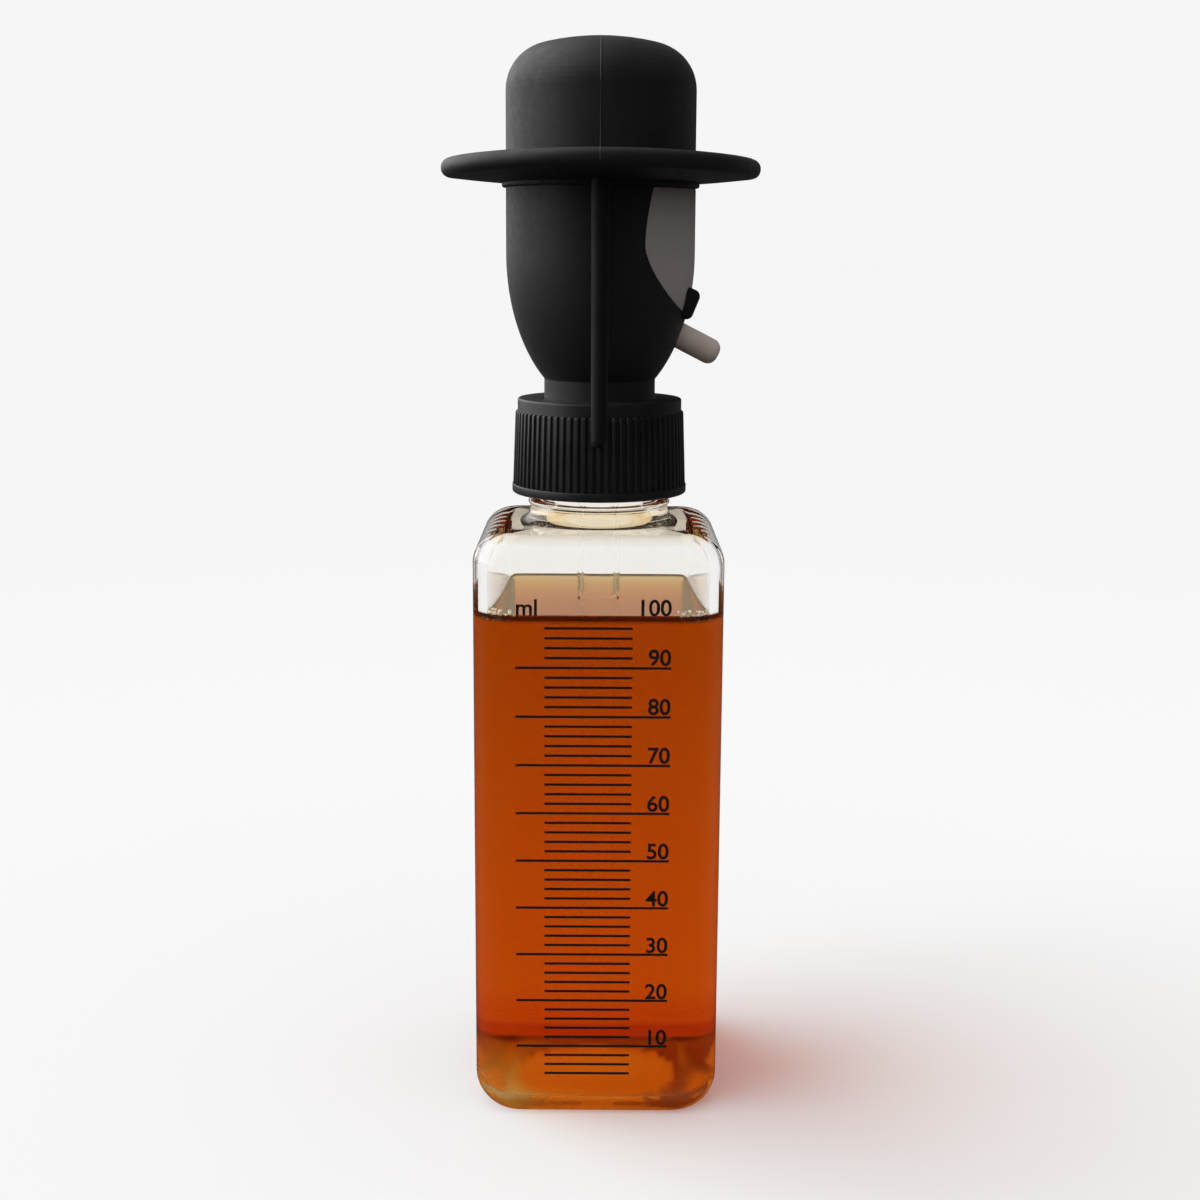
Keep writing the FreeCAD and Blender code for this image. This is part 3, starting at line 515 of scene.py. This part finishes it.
def bottle():
    """One closed skin: the outside, the neck and the cavity, whose wet part has its own glass."""
    rings = bottle_outside()
    pattern = rings[-1]
    top_half, top_corner = BOTTLE_HALF - SHOULDER_ROUND - FLAT_INSET, 1.9 * MM
    rings.append(rounded_square(top_half, top_corner, SHOULDER_Z + FLAT_RISE))
    rings += [to_circle(pattern, r, z) for r, z in neck_profile()]
    first_inner = sum(len(ring) for ring in rings)
    roof_half = INNER_HALF - INNER_ROUND - FLAT_INSET
    rings.append(rounded_square(roof_half, INNER_CORNER - INNER_ROUND, ROOF_Z + FLAT_RISE))
    for turn in quarter(24):
        inset = INNER_ROUND * (1 - math.sin(turn))
        z = ROOF_Z - INNER_ROUND * (1 - math.cos(turn))
        rings.append(rounded_square(INNER_HALF - inset, INNER_CORNER - inset, z))
    wall_top, wall_low = ROOF_Z - INNER_ROUND - STEP, HEEL_Z + FLOOR_ROUND + STEP
    for z in (wall_top, LEVEL, 0.66 * ROOF_Z, 0.33 * ROOF_Z, wall_low):
        rings.append(rounded_square(INNER_HALF, INNER_CORNER, z))
    rings += floor_rings(0.0)
    piece = skin("bottle_glass", rings)
    add_piece(piece, "bottle", "clear_glass", GLASS, "glass_bottle")
    second_material(piece, WET_GLASS,
                    lambda face: min(face.vertices) >= first_inner and face.center.z < LEVEL)
    return piece


def floor_rings(growth):
    """The rounded edge and the slightly crowned middle of the cavity's floor, from the wall in."""
    half, base = INNER_HALF + growth, HEEL_Z - growth
    edge = [lower_edge(half, INNER_CORNER, base, FLOOR_ROUND, FRONT_ROUND, turn)
            for turn in quarter(10)]
    return edge[::-1] + domed(edge[0], base, FLOOR_CROWN, 12 * MM)[::-1]


def bottle_thread():
    """The raised thread on the neck, a ridge along a helix that fades out at both ends."""
    pitch, turns, start = 3.18 * MM, 1.5, 103.4 * MM
    root, height = FINISH - 0.15 * MM, 0.98 * MM
    steps = 150
    rings = []
    for i in range(steps + 1):
        share = i / steps
        angle = 2 * math.pi * turns * share
        fade = min(1.0, 12 * share, 12 * (1 - share))
        z = start + pitch * turns * share
        flank, crest = FINISH + 0.9 * MM * fade, FINISH + height * fade
        # each point is a radius in metres and a height over the helix in mm
        section = ((root, -0.85), (flank, -0.45), (crest, -0.2),
                   (crest, 0.2), (flank, 0.45), (root, 0.85))
        x, y = math.cos(angle), math.sin(angle)
        rings.append([Vector((r * x, r * y, z + h * MM)) for r, h in section])
    ends = [[sum(ring, Vector()) / len(ring)] for ring in (rings[0], rings[-1])]
    piece = skin("bottle_thread", ends[:1] + rings + ends[1:])
    return add_piece(piece, "bottle", "clear_glass", GLASS)


def surface_rings(bite, offset):
    """The liquid's top: level in the middle, climbing the glass at the edges."""
    climb, reach = 0.5 * MM, 0.8 * MM
    middle = LEVEL - 0.35 * MM + offset
    rings = []
    for depth in (0, 0.12, 0.3, 0.55, 0.85, 1.2, 1.7, 2.4, 3.4):
        inset = depth * MM
        height = middle + climb * math.exp(-inset / reach)
        corner = max(INNER_CORNER - inset, 0.8 * MM)
        rings.append(rounded_square(INNER_HALF + bite - inset, corner, height))
    for share in (0.6, 0.3):
        rings.append(rounded_square(INNER_HALF * share, 0.8 * MM, middle))
    rings.append([Vector((0, 0, middle))])
    return rings


def liquid():
    """The liquid fills the cavity and bites a little into the glass; a film makes its top face."""
    bite = 0.03 * MM
    rings = floor_rings(bite)[::-1]
    for z in (HEEL_Z + FLOOR_ROUND + STEP, 0.33 * LEVEL, 0.66 * LEVEL, LEVEL - 1.5 * MM):
        rings.append(rounded_square(INNER_HALF + bite, INNER_CORNER, z))
    rings += surface_rings(bite, 0)
    add_piece(skin("liquid", rings), "bottle", "amber_liquid", LIQUID, "liquid_fill")
    film = skin("liquid_surface", surface_rings(0, -bite)[::-1] + surface_rings(0, bite))
    add_piece(film, "bottle", "amber_liquid", FILM)
    second_material(film, UNDER_FILM, lambda face: face.normal.z <= 0.2)
    return film


BUBBLES = 60                        # in each corner


def bubbles():
    """Small bubbles that cling to the glass in the two front corners of the surface; they are
    opaque pale beads, so their glints are painted.
    """
    draw = random.Random(7)
    joined = bmesh.new()
    centre = INNER_HALF - INNER_CORNER
    for side in (-1, 1):
        for _ in range(BUBBLES):
            radius = draw.uniform(0.08, 0.23) * MM
            angle = math.radians(draw.triangular(8, 100, 62))
            away = INNER_CORNER - radius - 0.05 * MM
            place = Vector((side * (centre + away * math.cos(angle)),
                            -(centre + away * math.sin(angle)),
                            LEVEL + draw.uniform(-0.9, 0.9) * MM))
            where = Matrix.Translation(place)
            bmesh.ops.create_icosphere(joined, subdivisions=2, radius=radius, matrix=where)
    mesh = bpy.data.meshes.new("bubbles")
    joined.to_mesh(mesh)
    joined.free()
    return add_piece(finish_mesh("bubbles", mesh), "bottle", "amber_liquid", BUBBLE_GLINT_PAINT)


def scale_numbers():
    """Numbers over the long lines, and the unit, in the built-in font."""
    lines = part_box("scale_print")
    lowest_ml, highest_ml = 4, 100
    ml_rise = (LEVEL - lines[0].z) / (highest_ml - lowest_ml)
    right, left = lines[1].x, lines[0].x
    height, digit_share = 2.62 * MM, 0.72   # of a digit, and its share of the font's size
    labels = [(str(ml), right, "RIGHT", LEVEL - (highest_ml - ml) * ml_rise)
              for ml in range(10, highest_ml + 1, 10)]
    labels.append(("ml", left, "LEFT", LEVEL))
    joined = bmesh.new()
    for text, x, side, z in labels:
        curve = bpy.data.curves.new(f"label_{text}", "FONT")
        curve.body = text
        curve.align_x = side
        curve.size = height / digit_share
        curve.offset = 0.06 * MM
        curve.extrude = 0.02 * MM
        item = bpy.data.objects.new(f"label_{text}", curve)
        bpy.context.scene.collection.objects.link(item)
        bpy.context.view_layer.update()
        mesh = bpy.data.meshes.new_from_object(item)
        place = Matrix.Translation((x, lines[0].y + 0.02 * MM, z + 0.5 * MM))
        mesh.transform(place @ Matrix.Rotation(math.radians(90), 4, "X"))
        joined.from_mesh(mesh)
        bpy.data.objects.remove(item)
    mesh = bpy.data.meshes.new("scale_numbers")
    joined.to_mesh(mesh)
    joined.free()
    piece = bpy.data.objects.new("scale_numbers", mesh)
    bpy.context.scene.collection.objects.link(piece)
    return add_piece(piece, "bottle", "black_ink", INK)


# ---- the cap ----

RIBS = 72
RIB_STEEPNESS, RIB_SHIFT = 7, 0.15  # of a rib's sides, and what makes it wider than a valley


def cap():
    """A closed ring of a profile whose ribbed rows are waved in and out."""
    top, bottom, band = CAP_TOP, CAP_LOW, CAP_RADIUS
    lid, hole, skirt, lid_thickness = 13.42 * MM, 9.16 * MM, 12.2 * MM, 1.4 * MM
    rib_low, rib_high, rib_depth, per_rib = 102.3 * MM, 114.2 * MM, 0.42 * MM, 12
    rib_rows = [(14.0 * MM, rib_low), (14.18 * MM, rib_low + 0.02 * MM),
                (14.2 * MM, rib_low + 0.2 * MM), (14.0 * MM, 0.5 * (rib_low + rib_high)),
                (13.8 * MM, rib_high - 0.35 * MM), (13.74 * MM, rib_high - 0.12 * MM),
                (13.6 * MM, rib_high)]
    profile = [(skirt, bottom + 0.3 * MM), (skirt + 0.3 * MM, bottom)]
    profile += arc(band - 0.35 * MM, bottom + 0.35 * MM, 0.35 * MM, -90, 0, 4)
    profile += arc(band - 0.15 * MM, rib_low - 0.15 * MM, 0.15 * MM, 0, 90, 3)
    profile += rib_rows
    profile += [(lid + 0.02 * MM, rib_high + 0.03 * MM), (lid, rib_high + 0.15 * MM)]
    profile += arc(lid - 0.35 * MM, top - 0.35 * MM, 0.35 * MM, 0, 90, 5)
    profile += [(hole + 0.14 * MM, top), (hole, top - 0.15 * MM), (hole, top - lid_thickness),
                (skirt, top - lid_thickness)]
    angles = [2 * math.pi * i / (RIBS * per_rib) for i in range(RIBS * per_rib)]

    def ribs(angle, r, z):
        """Moves the ribbed rows in at the valleys, which are a little narrower than the ribs."""
        if (r, z) not in rib_rows:
            return r, z
        wave = math.cos(angle * RIBS)
        valley = 1 / (1 + math.exp(RIB_STEEPNESS * (wave + RIB_SHIFT)))
        return r - rib_depth * valley, z
    piece = lathe("cap", profile, angles, loop=True, bend=ribs)
    return add_piece(piece, "cap", "cap_plastic", CAP, "screw_cap")


# ---- the dropper ----

HEAD_MIDDLE = 139.5 * MM
HEAD_DROP = 25.0 * MM               # how far the chin's ellipse would reach below its middle
NECK_RADIUS = 9.06 * MM
SEAM_HEIGHT, SEAM_WIDTH = 0.10 * MM, 0.09 * MM
SIDE_CURL = 0.8 * MM                # how far the brim turns up at the wearer's left and right
TOP_NARROWING = 0.75 * MM           # how much less half width the face has at its top


def head_radius(z, inset=0.0):
    """Radius of the head's outside at a height."""
    if z >= HEAD_MIDDLE:
        return HEAD_RADIUS - inset
    share = (HEAD_MIDDLE - z) / (HEAD_DROP - inset)
    return (HEAD_RADIUS - inset) * math.sqrt(max(0.0, 1 - share * share))


def head():
    """The bulb's outside, shaped as a head; it is taken off the dropper body again and kept where
    it stands.
    """
    bottom, top = 118.9 * MM, BRIM_LOW - 0.02 * MM
    steps = 40
    profile = [(0, bottom)]
    for i in range(steps + 1):
        z = bottom + (HEAD_MIDDLE - bottom) * i / steps
        profile.append((head_radius(z), z))
    for share in (0.33, 0.66, 1):
        profile.append((HEAD_RADIUS, HEAD_MIDDLE + (top - HEAD_MIDDLE) * share))
    profile += [(HEAD_RADIUS - 1.5 * MM, top), (0, top)]
    piece = lathe("head", profile, 160)
    add_piece(piece, "dropper", "black_silicone", BLACK, "squeeze_bulb")
    piece.parent = None
    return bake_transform(piece)


def bulb_neck():
    """The bulb's short neck, from inside the cap's lid up into the head."""
    bottom, top, rounding = CAP_TOP - 1.0 * MM, 120.1 * MM, 0.5 * MM
    profile = [(0, bottom), (NECK_RADIUS, bottom), (NECK_RADIUS, top - 0.8 * MM)]
    profile += arc(NECK_RADIUS - rounding, top - rounding, rounding, 0, 90, 4) + [(0, top)]
    piece = lathe("bulb_neck", with_supports(profile), 128)
    return add_piece(piece, "dropper", "black_silicone", BLACK)


def seam_angles(count=180, spacing=0.0035):
    """Even angles, with close ones added at the two sides where the mould's halves met."""
    angles = {2 * math.pi * i / count for i in range(count)}
    for middle in (math.pi / 2, 3 * math.pi / 2):
        angles |= {middle + step * spacing for step in range(-5, 6)}
    return sorted(angles)


def hat():
    """Crown and brim in one shell; the crown is closed by a low dome with a rounded edge."""
    crown, inner = 15.2 * MM, 13.15 * MM
    rise, thick, edge = 0.75 * MM, 2.9 * MM, 1.35 * MM
    rim_low = BRIM_LOW + rise
    width = BRIM_RADIUS - edge - crown
    under = [(inner, BRIM_LOW), (crown, BRIM_LOW)]
    under += [(crown + width * t, BRIM_LOW + rise * t ** 1.3) for t in (0.25, 0.5, 0.75, 0.97)]
    rim = arc(BRIM_RADIUS - edge, rim_low + edge, edge, -85, 0, 7)
    rim += arc(BRIM_RADIUS - edge, rim_low + thick - edge, edge, 0, 88, 7)
    root = [(crown + width * t, BRIM_LOW + thick + rise * t ** 1.7)
            for t in (0.88, 0.75, 0.62, 0.5, 0.38, 0.26, 0.16)]
    root += arc(crown + 0.5 * MM, BRIM_LOW + thick + 0.55 * MM, 0.5 * MM, 262, 180, 4)
    dome_radius = 40 * MM
    corner = 7.3 * MM
    tilt = math.degrees(math.asin((crown - corner) / (dome_radius - corner)))
    dome_centre = HAT_TOP - dome_radius
    corner_z = dome_centre + (dome_radius - corner) * math.cos(math.radians(tilt))
    top = arc(crown - corner, corner_z, corner, 0, 90 - tilt, 12)
    top += arc(0, dome_centre, dome_radius, 90 - tilt, 90, 6)[1:-1] + [(0, HAT_TOP)]
    profile = with_supports(under + rim + root + top, 0.12 * MM, 4 * MM)
    profile += [(0, HAT_TOP - 2.6 * MM), (inner - 5 * MM, HAT_TOP - 2.7 * MM)]
    profile += [(inner, HAT_TOP - 9 * MM)]

    def shaped(angle, r, z):
        """Turns the brim up a little at the wearer's left and right, and raises a fine seam."""
        away = max(0.0, (r - crown) / (BRIM_RADIUS - crown))
        lift = SIDE_CURL * away ** 1.5 * 0.5 * (1 - math.cos(2 * angle))
        aside = min(abs(angle - math.pi / 2), abs(angle - 3 * math.pi / 2)) * r
        seam = 0
        if z > BRIM_LOW + 0.3 * MM:
            seam = SEAM_HEIGHT * math.exp(-(aside / SEAM_WIDTH) ** 2)
        if away > 0 and z > rim_low + thick * 0.6:
            return r, z + lift + seam
        return r + (seam if away <= 0 or r > BRIM_RADIUS - edge else 0), z + lift
    piece = lathe("hat", profile, seam_angles(), bend=shaped)
    bridge_bottom(piece)
    return add_piece(piece, "dropper", "hat_silicone", BLACK, "hat_shell")


def bridge_bottom(piece):
    """Closes the open inner edge of the hat, so that it is one closed shell."""
    shape = bmesh.new()
    shape.from_mesh(piece.data)
    edges = [edge for edge in shape.edges if edge.is_boundary]
    bmesh.ops.bridge_loops(shape, edges=edges)
    bmesh.ops.recalc_face_normals(shape, faces=shape.faces)
    shape.to_mesh(piece.data)
    shape.free()


def hat_band():
    """A thin ring where the head meets the brim."""
    bottom, top = low("hat_band").z, high("hat_band").z
    outer = high("hat_band").x
    profile = [(HEAD_RADIUS + 0.02 * MM, top), (HEAD_RADIUS + 0.02 * MM, bottom + 0.1 * MM)]
    profile += arc(outer - 0.3 * MM, bottom + 0.3 * MM, 0.3 * MM, -90, 0, 5) + [(outer, top)]
    piece = lathe("band", profile, 128, loop=True)
    return add_piece(piece, "dropper", "band_silicone", BLACK, "hat_band")


def face_panel():
    """A patch of the head's surface inside a rounded outline, with soft edges."""
    half, corner = high("face_panel").y, 11 * MM
    bottom, top = low("face_panel").z, high("face_panel").z
    columns, rows = 48, 36
    proud, depth, soft = 0.05 * MM, 0.8 * MM, 0.22 * MM

    def outline_half(z, shrink):
        """Half width of the panel's outline at a height, after shrinking it all round."""
        rise = z - (bottom + shrink)
        waist = 0.5 * (bottom + top)
        reach = half - shrink - TOP_NARROWING * max(0.0, (z - waist) / (top - waist)) ** 2
        round_by = corner - shrink
        if rise >= round_by:
            return reach
        return reach - round_by + math.sqrt(max(0.0, round_by ** 2 - (round_by - rise) ** 2))

    def layer(shrink, offset):
        points = []
        z_low, z_high = bottom + shrink, top - shrink
        for j in range(rows + 1):
            z = z_low + (z_high - z_low) * (j / rows) ** 1.35
            width = max(outline_half(z, shrink), 0.02 * MM)
            radius = head_radius(z) + offset
            for i in range(columns + 1):
                y = width * math.sin(math.pi / 2 * (2 * i / columns - 1))
                y = max(-radius * 0.999, min(radius * 0.999, y))
                points.append(Vector((math.sqrt(radius ** 2 - y ** 2), y, z)))
        return points
    layers = [layer(soft, proud), layer(soft * 0.3, proud * 0.75)]
    layers += [layer(0, -0.05 * MM), layer(0, -depth)]
    count = (columns + 1) * (rows + 1)
    verts = [p for points in layers for p in points]
    faces = []

    def at(i, j):
        return j * (columns + 1) + i
    for j in range(rows):
        for i in range(columns):
            quad = [at(i, j), at(i + 1, j), at(i + 1, j + 1), at(i, j + 1)]
            faces.append(quad)
            faces.append([3 * count + k for k in reversed(quad)])
    edge = [at(i, 0) for i in range(columns)] + [at(columns, j) for j in range(rows)]
    edge += [at(i, rows) for i in range(columns, 0, -1)] + [at(0, j) for j in range(rows, 0, -1)]
    for step in range(3):
        for a, b in zip(edge, edge[1:] + edge[:1]):
            here, beyond = step * count, (step + 1) * count
            faces.append([here + b, here + a, beyond + a, beyond + b])
    mesh = bpy.data.meshes.new("face")
    used = sorted({v for face in faces for v in face})
    place = {v: i for i, v in enumerate(used)}
    faces = [[place[v] for v in face] for face in faces]
    mesh.from_pydata([tuple(verts[v]) for v in used], [], faces)
    return add_piece(finish_mesh("face", mesh), "face", "grey_silicone", GREY, "face_panel")


def face_bar():
    """A short bar across the face, a rounded rectangle in section that leans with the chin."""
    lowest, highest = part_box("face_bar")
    half_depth, half_height, corner, end = 1.65 * MM, 2.5 * MM, 1.15 * MM, 1.1 * MM
    lean = Matrix.Rotation(math.radians(22), 3, "Y")
    middle = Vector((highest.x - 2.35 * MM, 0, 0.5 * (lowest.z + highest.z) + 0.5 * MM))

    def section(shrink, y):
        points = []
        radius = max(corner - shrink, 0.15 * MM)
        flat_x, flat_z = half_depth - shrink - radius, half_height - shrink - radius
        for turn, (sx, sz) in enumerate(((1, 1), (-1, 1), (-1, -1), (1, -1))):
            for i in range(8):
                angle = math.radians(90 * (turn + i / 7))
                points.append(Vector((sx * flat_x + radius * math.cos(angle), 0,
                                      sz * flat_z + radius * math.sin(angle))))
        return [middle + lean @ p + Vector((0, y, 0)) for p in points]
    tip = highest.y
    turns = [math.radians(15 * i) for i in range(7)]
    left = [section(0.9 * half_depth, -tip)]
    for turn in turns:
        left.append(section(end * (1 - math.sin(turn)), -tip + end * (1 - math.cos(turn))))
    right = [[Vector((p.x, -p.y, p.z)) for p in ring] for ring in reversed(left)]
    rings = [[middle - Vector((0, tip, 0))]] + left + right + [[middle + Vector((0, tip, 0))]]
    return add_piece(skin("face_bar_piece", rings), "face", "bar_silicone", BLACK, "face_bar")


def rod():
    """A short round rod that points forwards and down from under the bar."""
    slope = math.radians(27)
    along = Vector((math.cos(slope), 0, -math.sin(slope)))
    radius, rounding = 2.1 * MM, 1.6 * MM
    root, sunk, length = Vector((13.3 * MM, 0, 126.3 * MM)), 1.2 * MM, 6.7 * MM
    profile = [(0, -sunk), (radius, -sunk)]
    profile += arc(radius - rounding, length - rounding, rounding, 0, 90, 8) + [(0, length)]
    piece = lathe("rod", with_supports(profile), 64)
    turn = Vector((0, 0, 1)).rotation_difference(along).to_matrix().to_4x4()
    piece.data.transform(Matrix.Translation(root) @ turn)
    return add_piece(piece, "face", "beige_plastic", BEIGE, "pale_rod")


def strand(side, sign):
    """A straight strand with round ends, slightly thicker at its root under the brim."""
    top_radius, end_radius = 1.45 * MM, 1.25 * MM
    y = sign * 17.45 * MM
    profile = [(0, STRAND_LOW)] + arc(0, STRAND_LOW + end_radius, end_radius, -90, 0, 8)[1:]
    profile += arc(0, STRAND_TOP - top_radius, top_radius, 0, 90, 8)[:-1] + [(0, STRAND_TOP)]
    piece = lathe(f"strand_{side}", with_supports(profile, 0.2 * MM), 40)
    piece.data.transform(Matrix.Translation((0, y, 0)))
    # The strand's darker, less shiny silicone is painted shade.
    return add_piece(piece, f"strand_{side}", "strand_silicone", STRAND, f"side_strand_{side}")


def pipette():
    """A tapered glass tube; under the liquid's surface its glass doesn't show."""
    outer, wall = 3.5 * MM, 0.9 * MM
    tip, bore = 1.3 * MM, 0.62 * MM
    taper = 27 * MM
    outside = [(bore, PIPETTE_LOW), (tip - 0.2 * MM, PIPETTE_LOW), (tip, PIPETTE_LOW + 0.2 * MM),
               (tip + 0.1 * MM, PIPETTE_LOW + 3 * MM), (outer, taper), (outer, LEVEL),
               (outer, PIPETTE_TOP - 1.1 * MM), (outer + 0.6 * MM, PIPETTE_TOP - 0.8 * MM),
               (outer + 0.6 * MM, PIPETTE_TOP - 0.2 * MM), (outer + 0.4 * MM, PIPETTE_TOP),
               (outer - wall, PIPETTE_TOP)]
    inside = [(outer - wall, LEVEL), (outer - wall, taper + 0.5 * MM),
              (bore, PIPETTE_LOW + 3.5 * MM)]
    piece = lathe("pipette", outside + inside, 64, loop=True)
    add_piece(piece, "dropper", "pipette_glass", PIPETTE_GLASS, "glass_pipette")
    second_material(piece, SUNK_GLASS, lambda face: face.center.z < LEVEL)
    return piece


# ---- CAD nodes that stay, with better materials ----

def repaint(name, material):
    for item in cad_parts[name].material_slots:
        item.material = material


# ---- stage, light and camera ----

BACKGROUND = 0.922                  # linear value of the pale ground and backdrop
GROUND_ALBEDO = 0.60
# Painted light: the ground glows, more strongly near the object than far away.
GROUND_GLOW = 0.2, 0.6, 0.042, 0.012   # near and far distance in metres, and what it adds there


def ground_material():
    """A pale ground; towards the object's own surfaces it sends back much less light. It glows more
    near the object than far off, a painted pool of light.
    """
    material = new_material("ground", (GROUND_ALBEDO,) * 3, 1.0, 0.0)
    nodes = material.node_tree.nodes
    shader = nodes["Principled BSDF"]
    shader.inputs["Emission Color"].default_value = (1, 1, 1, 1)
    where = node(material, "ShaderNodeTexCoord")
    away = node(material, "ShaderNodeVectorMath", operation="LENGTH")
    glow = node(material, "ShaderNodeMapRange")
    for socket, value in zip(("From Min", "From Max", "To Min", "To Max"), GROUND_GLOW):
        glow.inputs[socket].default_value = value
    link(material, where.outputs["Object"], away.inputs[0])
    link(material, away.outputs["Value"], glow.inputs["Value"])
    link(material, glow.outputs["Result"], shader.inputs["Emission Strength"])
    dim = node(material, "ShaderNodeBsdfDiffuse", Color=(0.05, 0.049, 0.047, 1))
    path = node(material, "ShaderNodeLightPath")
    seen = node(material, "ShaderNodeMath", operation="ADD")
    seen.use_clamp = True
    mix = node(material, "ShaderNodeMixShader")
    link(material, path.outputs["Is Camera Ray"], seen.inputs[0])
    link(material, path.outputs["Is Transmission Ray"], seen.inputs[1])
    link(material, seen.outputs["Value"], mix.inputs["Fac"])
    link(material, dim.outputs["BSDF"], mix.inputs[1])
    link(material, shader.outputs["BSDF"], mix.inputs[2])
    link(material, mix.outputs["Shader"], nodes["Material Output"].inputs["Surface"])
    return material


def stage():
    """The pale ground that the bottle stands on."""
    mesh = bpy.data.meshes.new("ground")
    size = 40.0
    corners = [(-size, -size, 0), (size, -size, 0), (size, size, 0), (-size, size, 0)]
    mesh.from_pydata(corners, [], [(0, 1, 2, 3)])
    ground = bpy.data.objects.new("ground", mesh)
    bpy.context.scene.collection.objects.link(ground)
    mesh.materials.append(ground_material())


LOBES = (
    # direction, cosine where it starts and is full, strength
    ((-1.0, 0.25, 0.31), 0.34, 0.95, 2.8),
    ((-0.6, -0.1, 1.0), 0.74, 1.00, 0.6),
    ((1.0, 0.9, 0.1), 0.86, 1.00, 0.12),
)
FILL = 0.011
LAMPS = (
    # what lights matte surfaces: name, direction it comes from, spread in degrees, strength
    ("side_lamp", (-0.75, 0.1, 1.05), 56, 3.4),
    ("overhead_lamp", (0.0, 0.0, 1.0), 160, 2.0),
)


def studio_light():
    """Soft light from the left and above, and a weak one from behind on the right.

    Clear and shiny surfaces reflect the lobes, matte ones are lit by the lamps, and the camera sees
    an even backdrop, also through glass.
    """
    world = bpy.data.worlds.new("studio")
    bpy.context.scene.world = world
    world.use_nodes = True
    nodes, links = world.node_tree.nodes, world.node_tree.links
    background = nodes["Background"]
    where = nodes.new("ShaderNodeTexCoord")

    def add(a, b):
        item = nodes.new("ShaderNodeMath")
        item.operation = "ADD"
        for k, source in enumerate((a, b)):
            if isinstance(source, float):
                item.inputs[k].default_value = source
            else:
                links.new(source, item.inputs[k])
        return item.outputs["Value"]
    light = FILL
    for direction, start, end, strength in LOBES:
        dot = nodes.new("ShaderNodeVectorMath")
        dot.operation = "DOT_PRODUCT"
        dot.inputs[1].default_value = Vector(direction).normalized()
        links.new(where.outputs["Generated"], dot.inputs[0])
        span = nodes.new("ShaderNodeMapRange")
        span.interpolation_type = "SMOOTHSTEP"
        span.inputs["From Min"].default_value = start
        span.inputs["From Max"].default_value = end
        span.inputs["To Max"].default_value = strength
        links.new(dot.outputs["Value"], span.inputs["Value"])
        light = add(light, span.outputs["Result"])
    path = nodes.new("ShaderNodeLightPath")
    seen = add(path.outputs["Is Camera Ray"], path.outputs["Is Transmission Ray"])
    mix = nodes.new("ShaderNodeMix")
    mix.data_type = "FLOAT"
    links.new(seen, mix.inputs["Factor"])
    links.new(light, mix.inputs["A"])
    mix.inputs["B"].default_value = BACKGROUND
    links.new(mix.outputs["Result"], background.inputs["Strength"])
    background.inputs["Color"].default_value = (1, 1, 1, 1)
    world.cycles_visibility.diffuse = False
    for name, direction, spread, strength in LAMPS:
        data = bpy.data.lights.new(name, "SUN")
        data.angle = math.radians(spread)
        data.energy = strength
        lamp = bpy.data.objects.new(name, data)
        lamp.rotation_euler = Vector(direction).to_track_quat("Z", "Y").to_euler()
        lamp.visible_glossy = False
        lamp.visible_transmission = False
        bpy.context.scene.collection.objects.link(lamp)


CAMERA_PLACE = 0.22 * MM, -279.25 * MM, 140.1 * MM
CAMERA_DOWN, CAMERA_ROLL = 10.17, 0.32   # degrees
CAMERA_SHIFT = -0.0375              # share of the frame's width
SENSOR_WIDTH, FOCAL_LENGTH = 36, 51.0    # mm


def camera():
    """A portrait lens at the height of the head, looking slightly down."""
    data = bpy.data.cameras.new("camera")
    data.sensor_width = SENSOR_WIDTH
    data.lens = FOCAL_LENGTH
    data.shift_y = CAMERA_SHIFT
    data.clip_start = 0.01
    data.clip_end = 100
    item = bpy.data.objects.new("camera", data)
    bpy.context.scene.collection.objects.link(item)
    tilt, roll = math.radians(90 - CAMERA_DOWN), math.radians(CAMERA_ROLL)
    turn = Matrix.Rotation(tilt, 4, "X") @ Matrix.Rotation(roll, 4, "Z")
    item.matrix_world = Matrix.Translation(CAMERA_PLACE) @ turn
    bpy.context.scene.camera = item


def build():
    stage()
    studio_light()
    camera()
    bottle()
    bottle_thread()
    liquid()
    bubbles()
    scale_numbers()
    cap()
    head()
    bulb_neck()
    hat()
    hat_band()
    face_panel()
    face_bar()
    rod()
    strand("near", -1)
    strand("far", 1)
    pipette()
    repaint("scale_print", INK)
    repaint("sealing_washer", WASHER)
    repaint("pipette_holder", NATURAL)
    scene = bpy.context.scene
    scene.view_settings.view_transform = "Standard"
    scene.cycles.max_bounces = 32
    scene.cycles.transmission_bounces = 24
    scene.cycles.glossy_bounces = 16
    scene.cycles.transparent_max_bounces = 24


build()
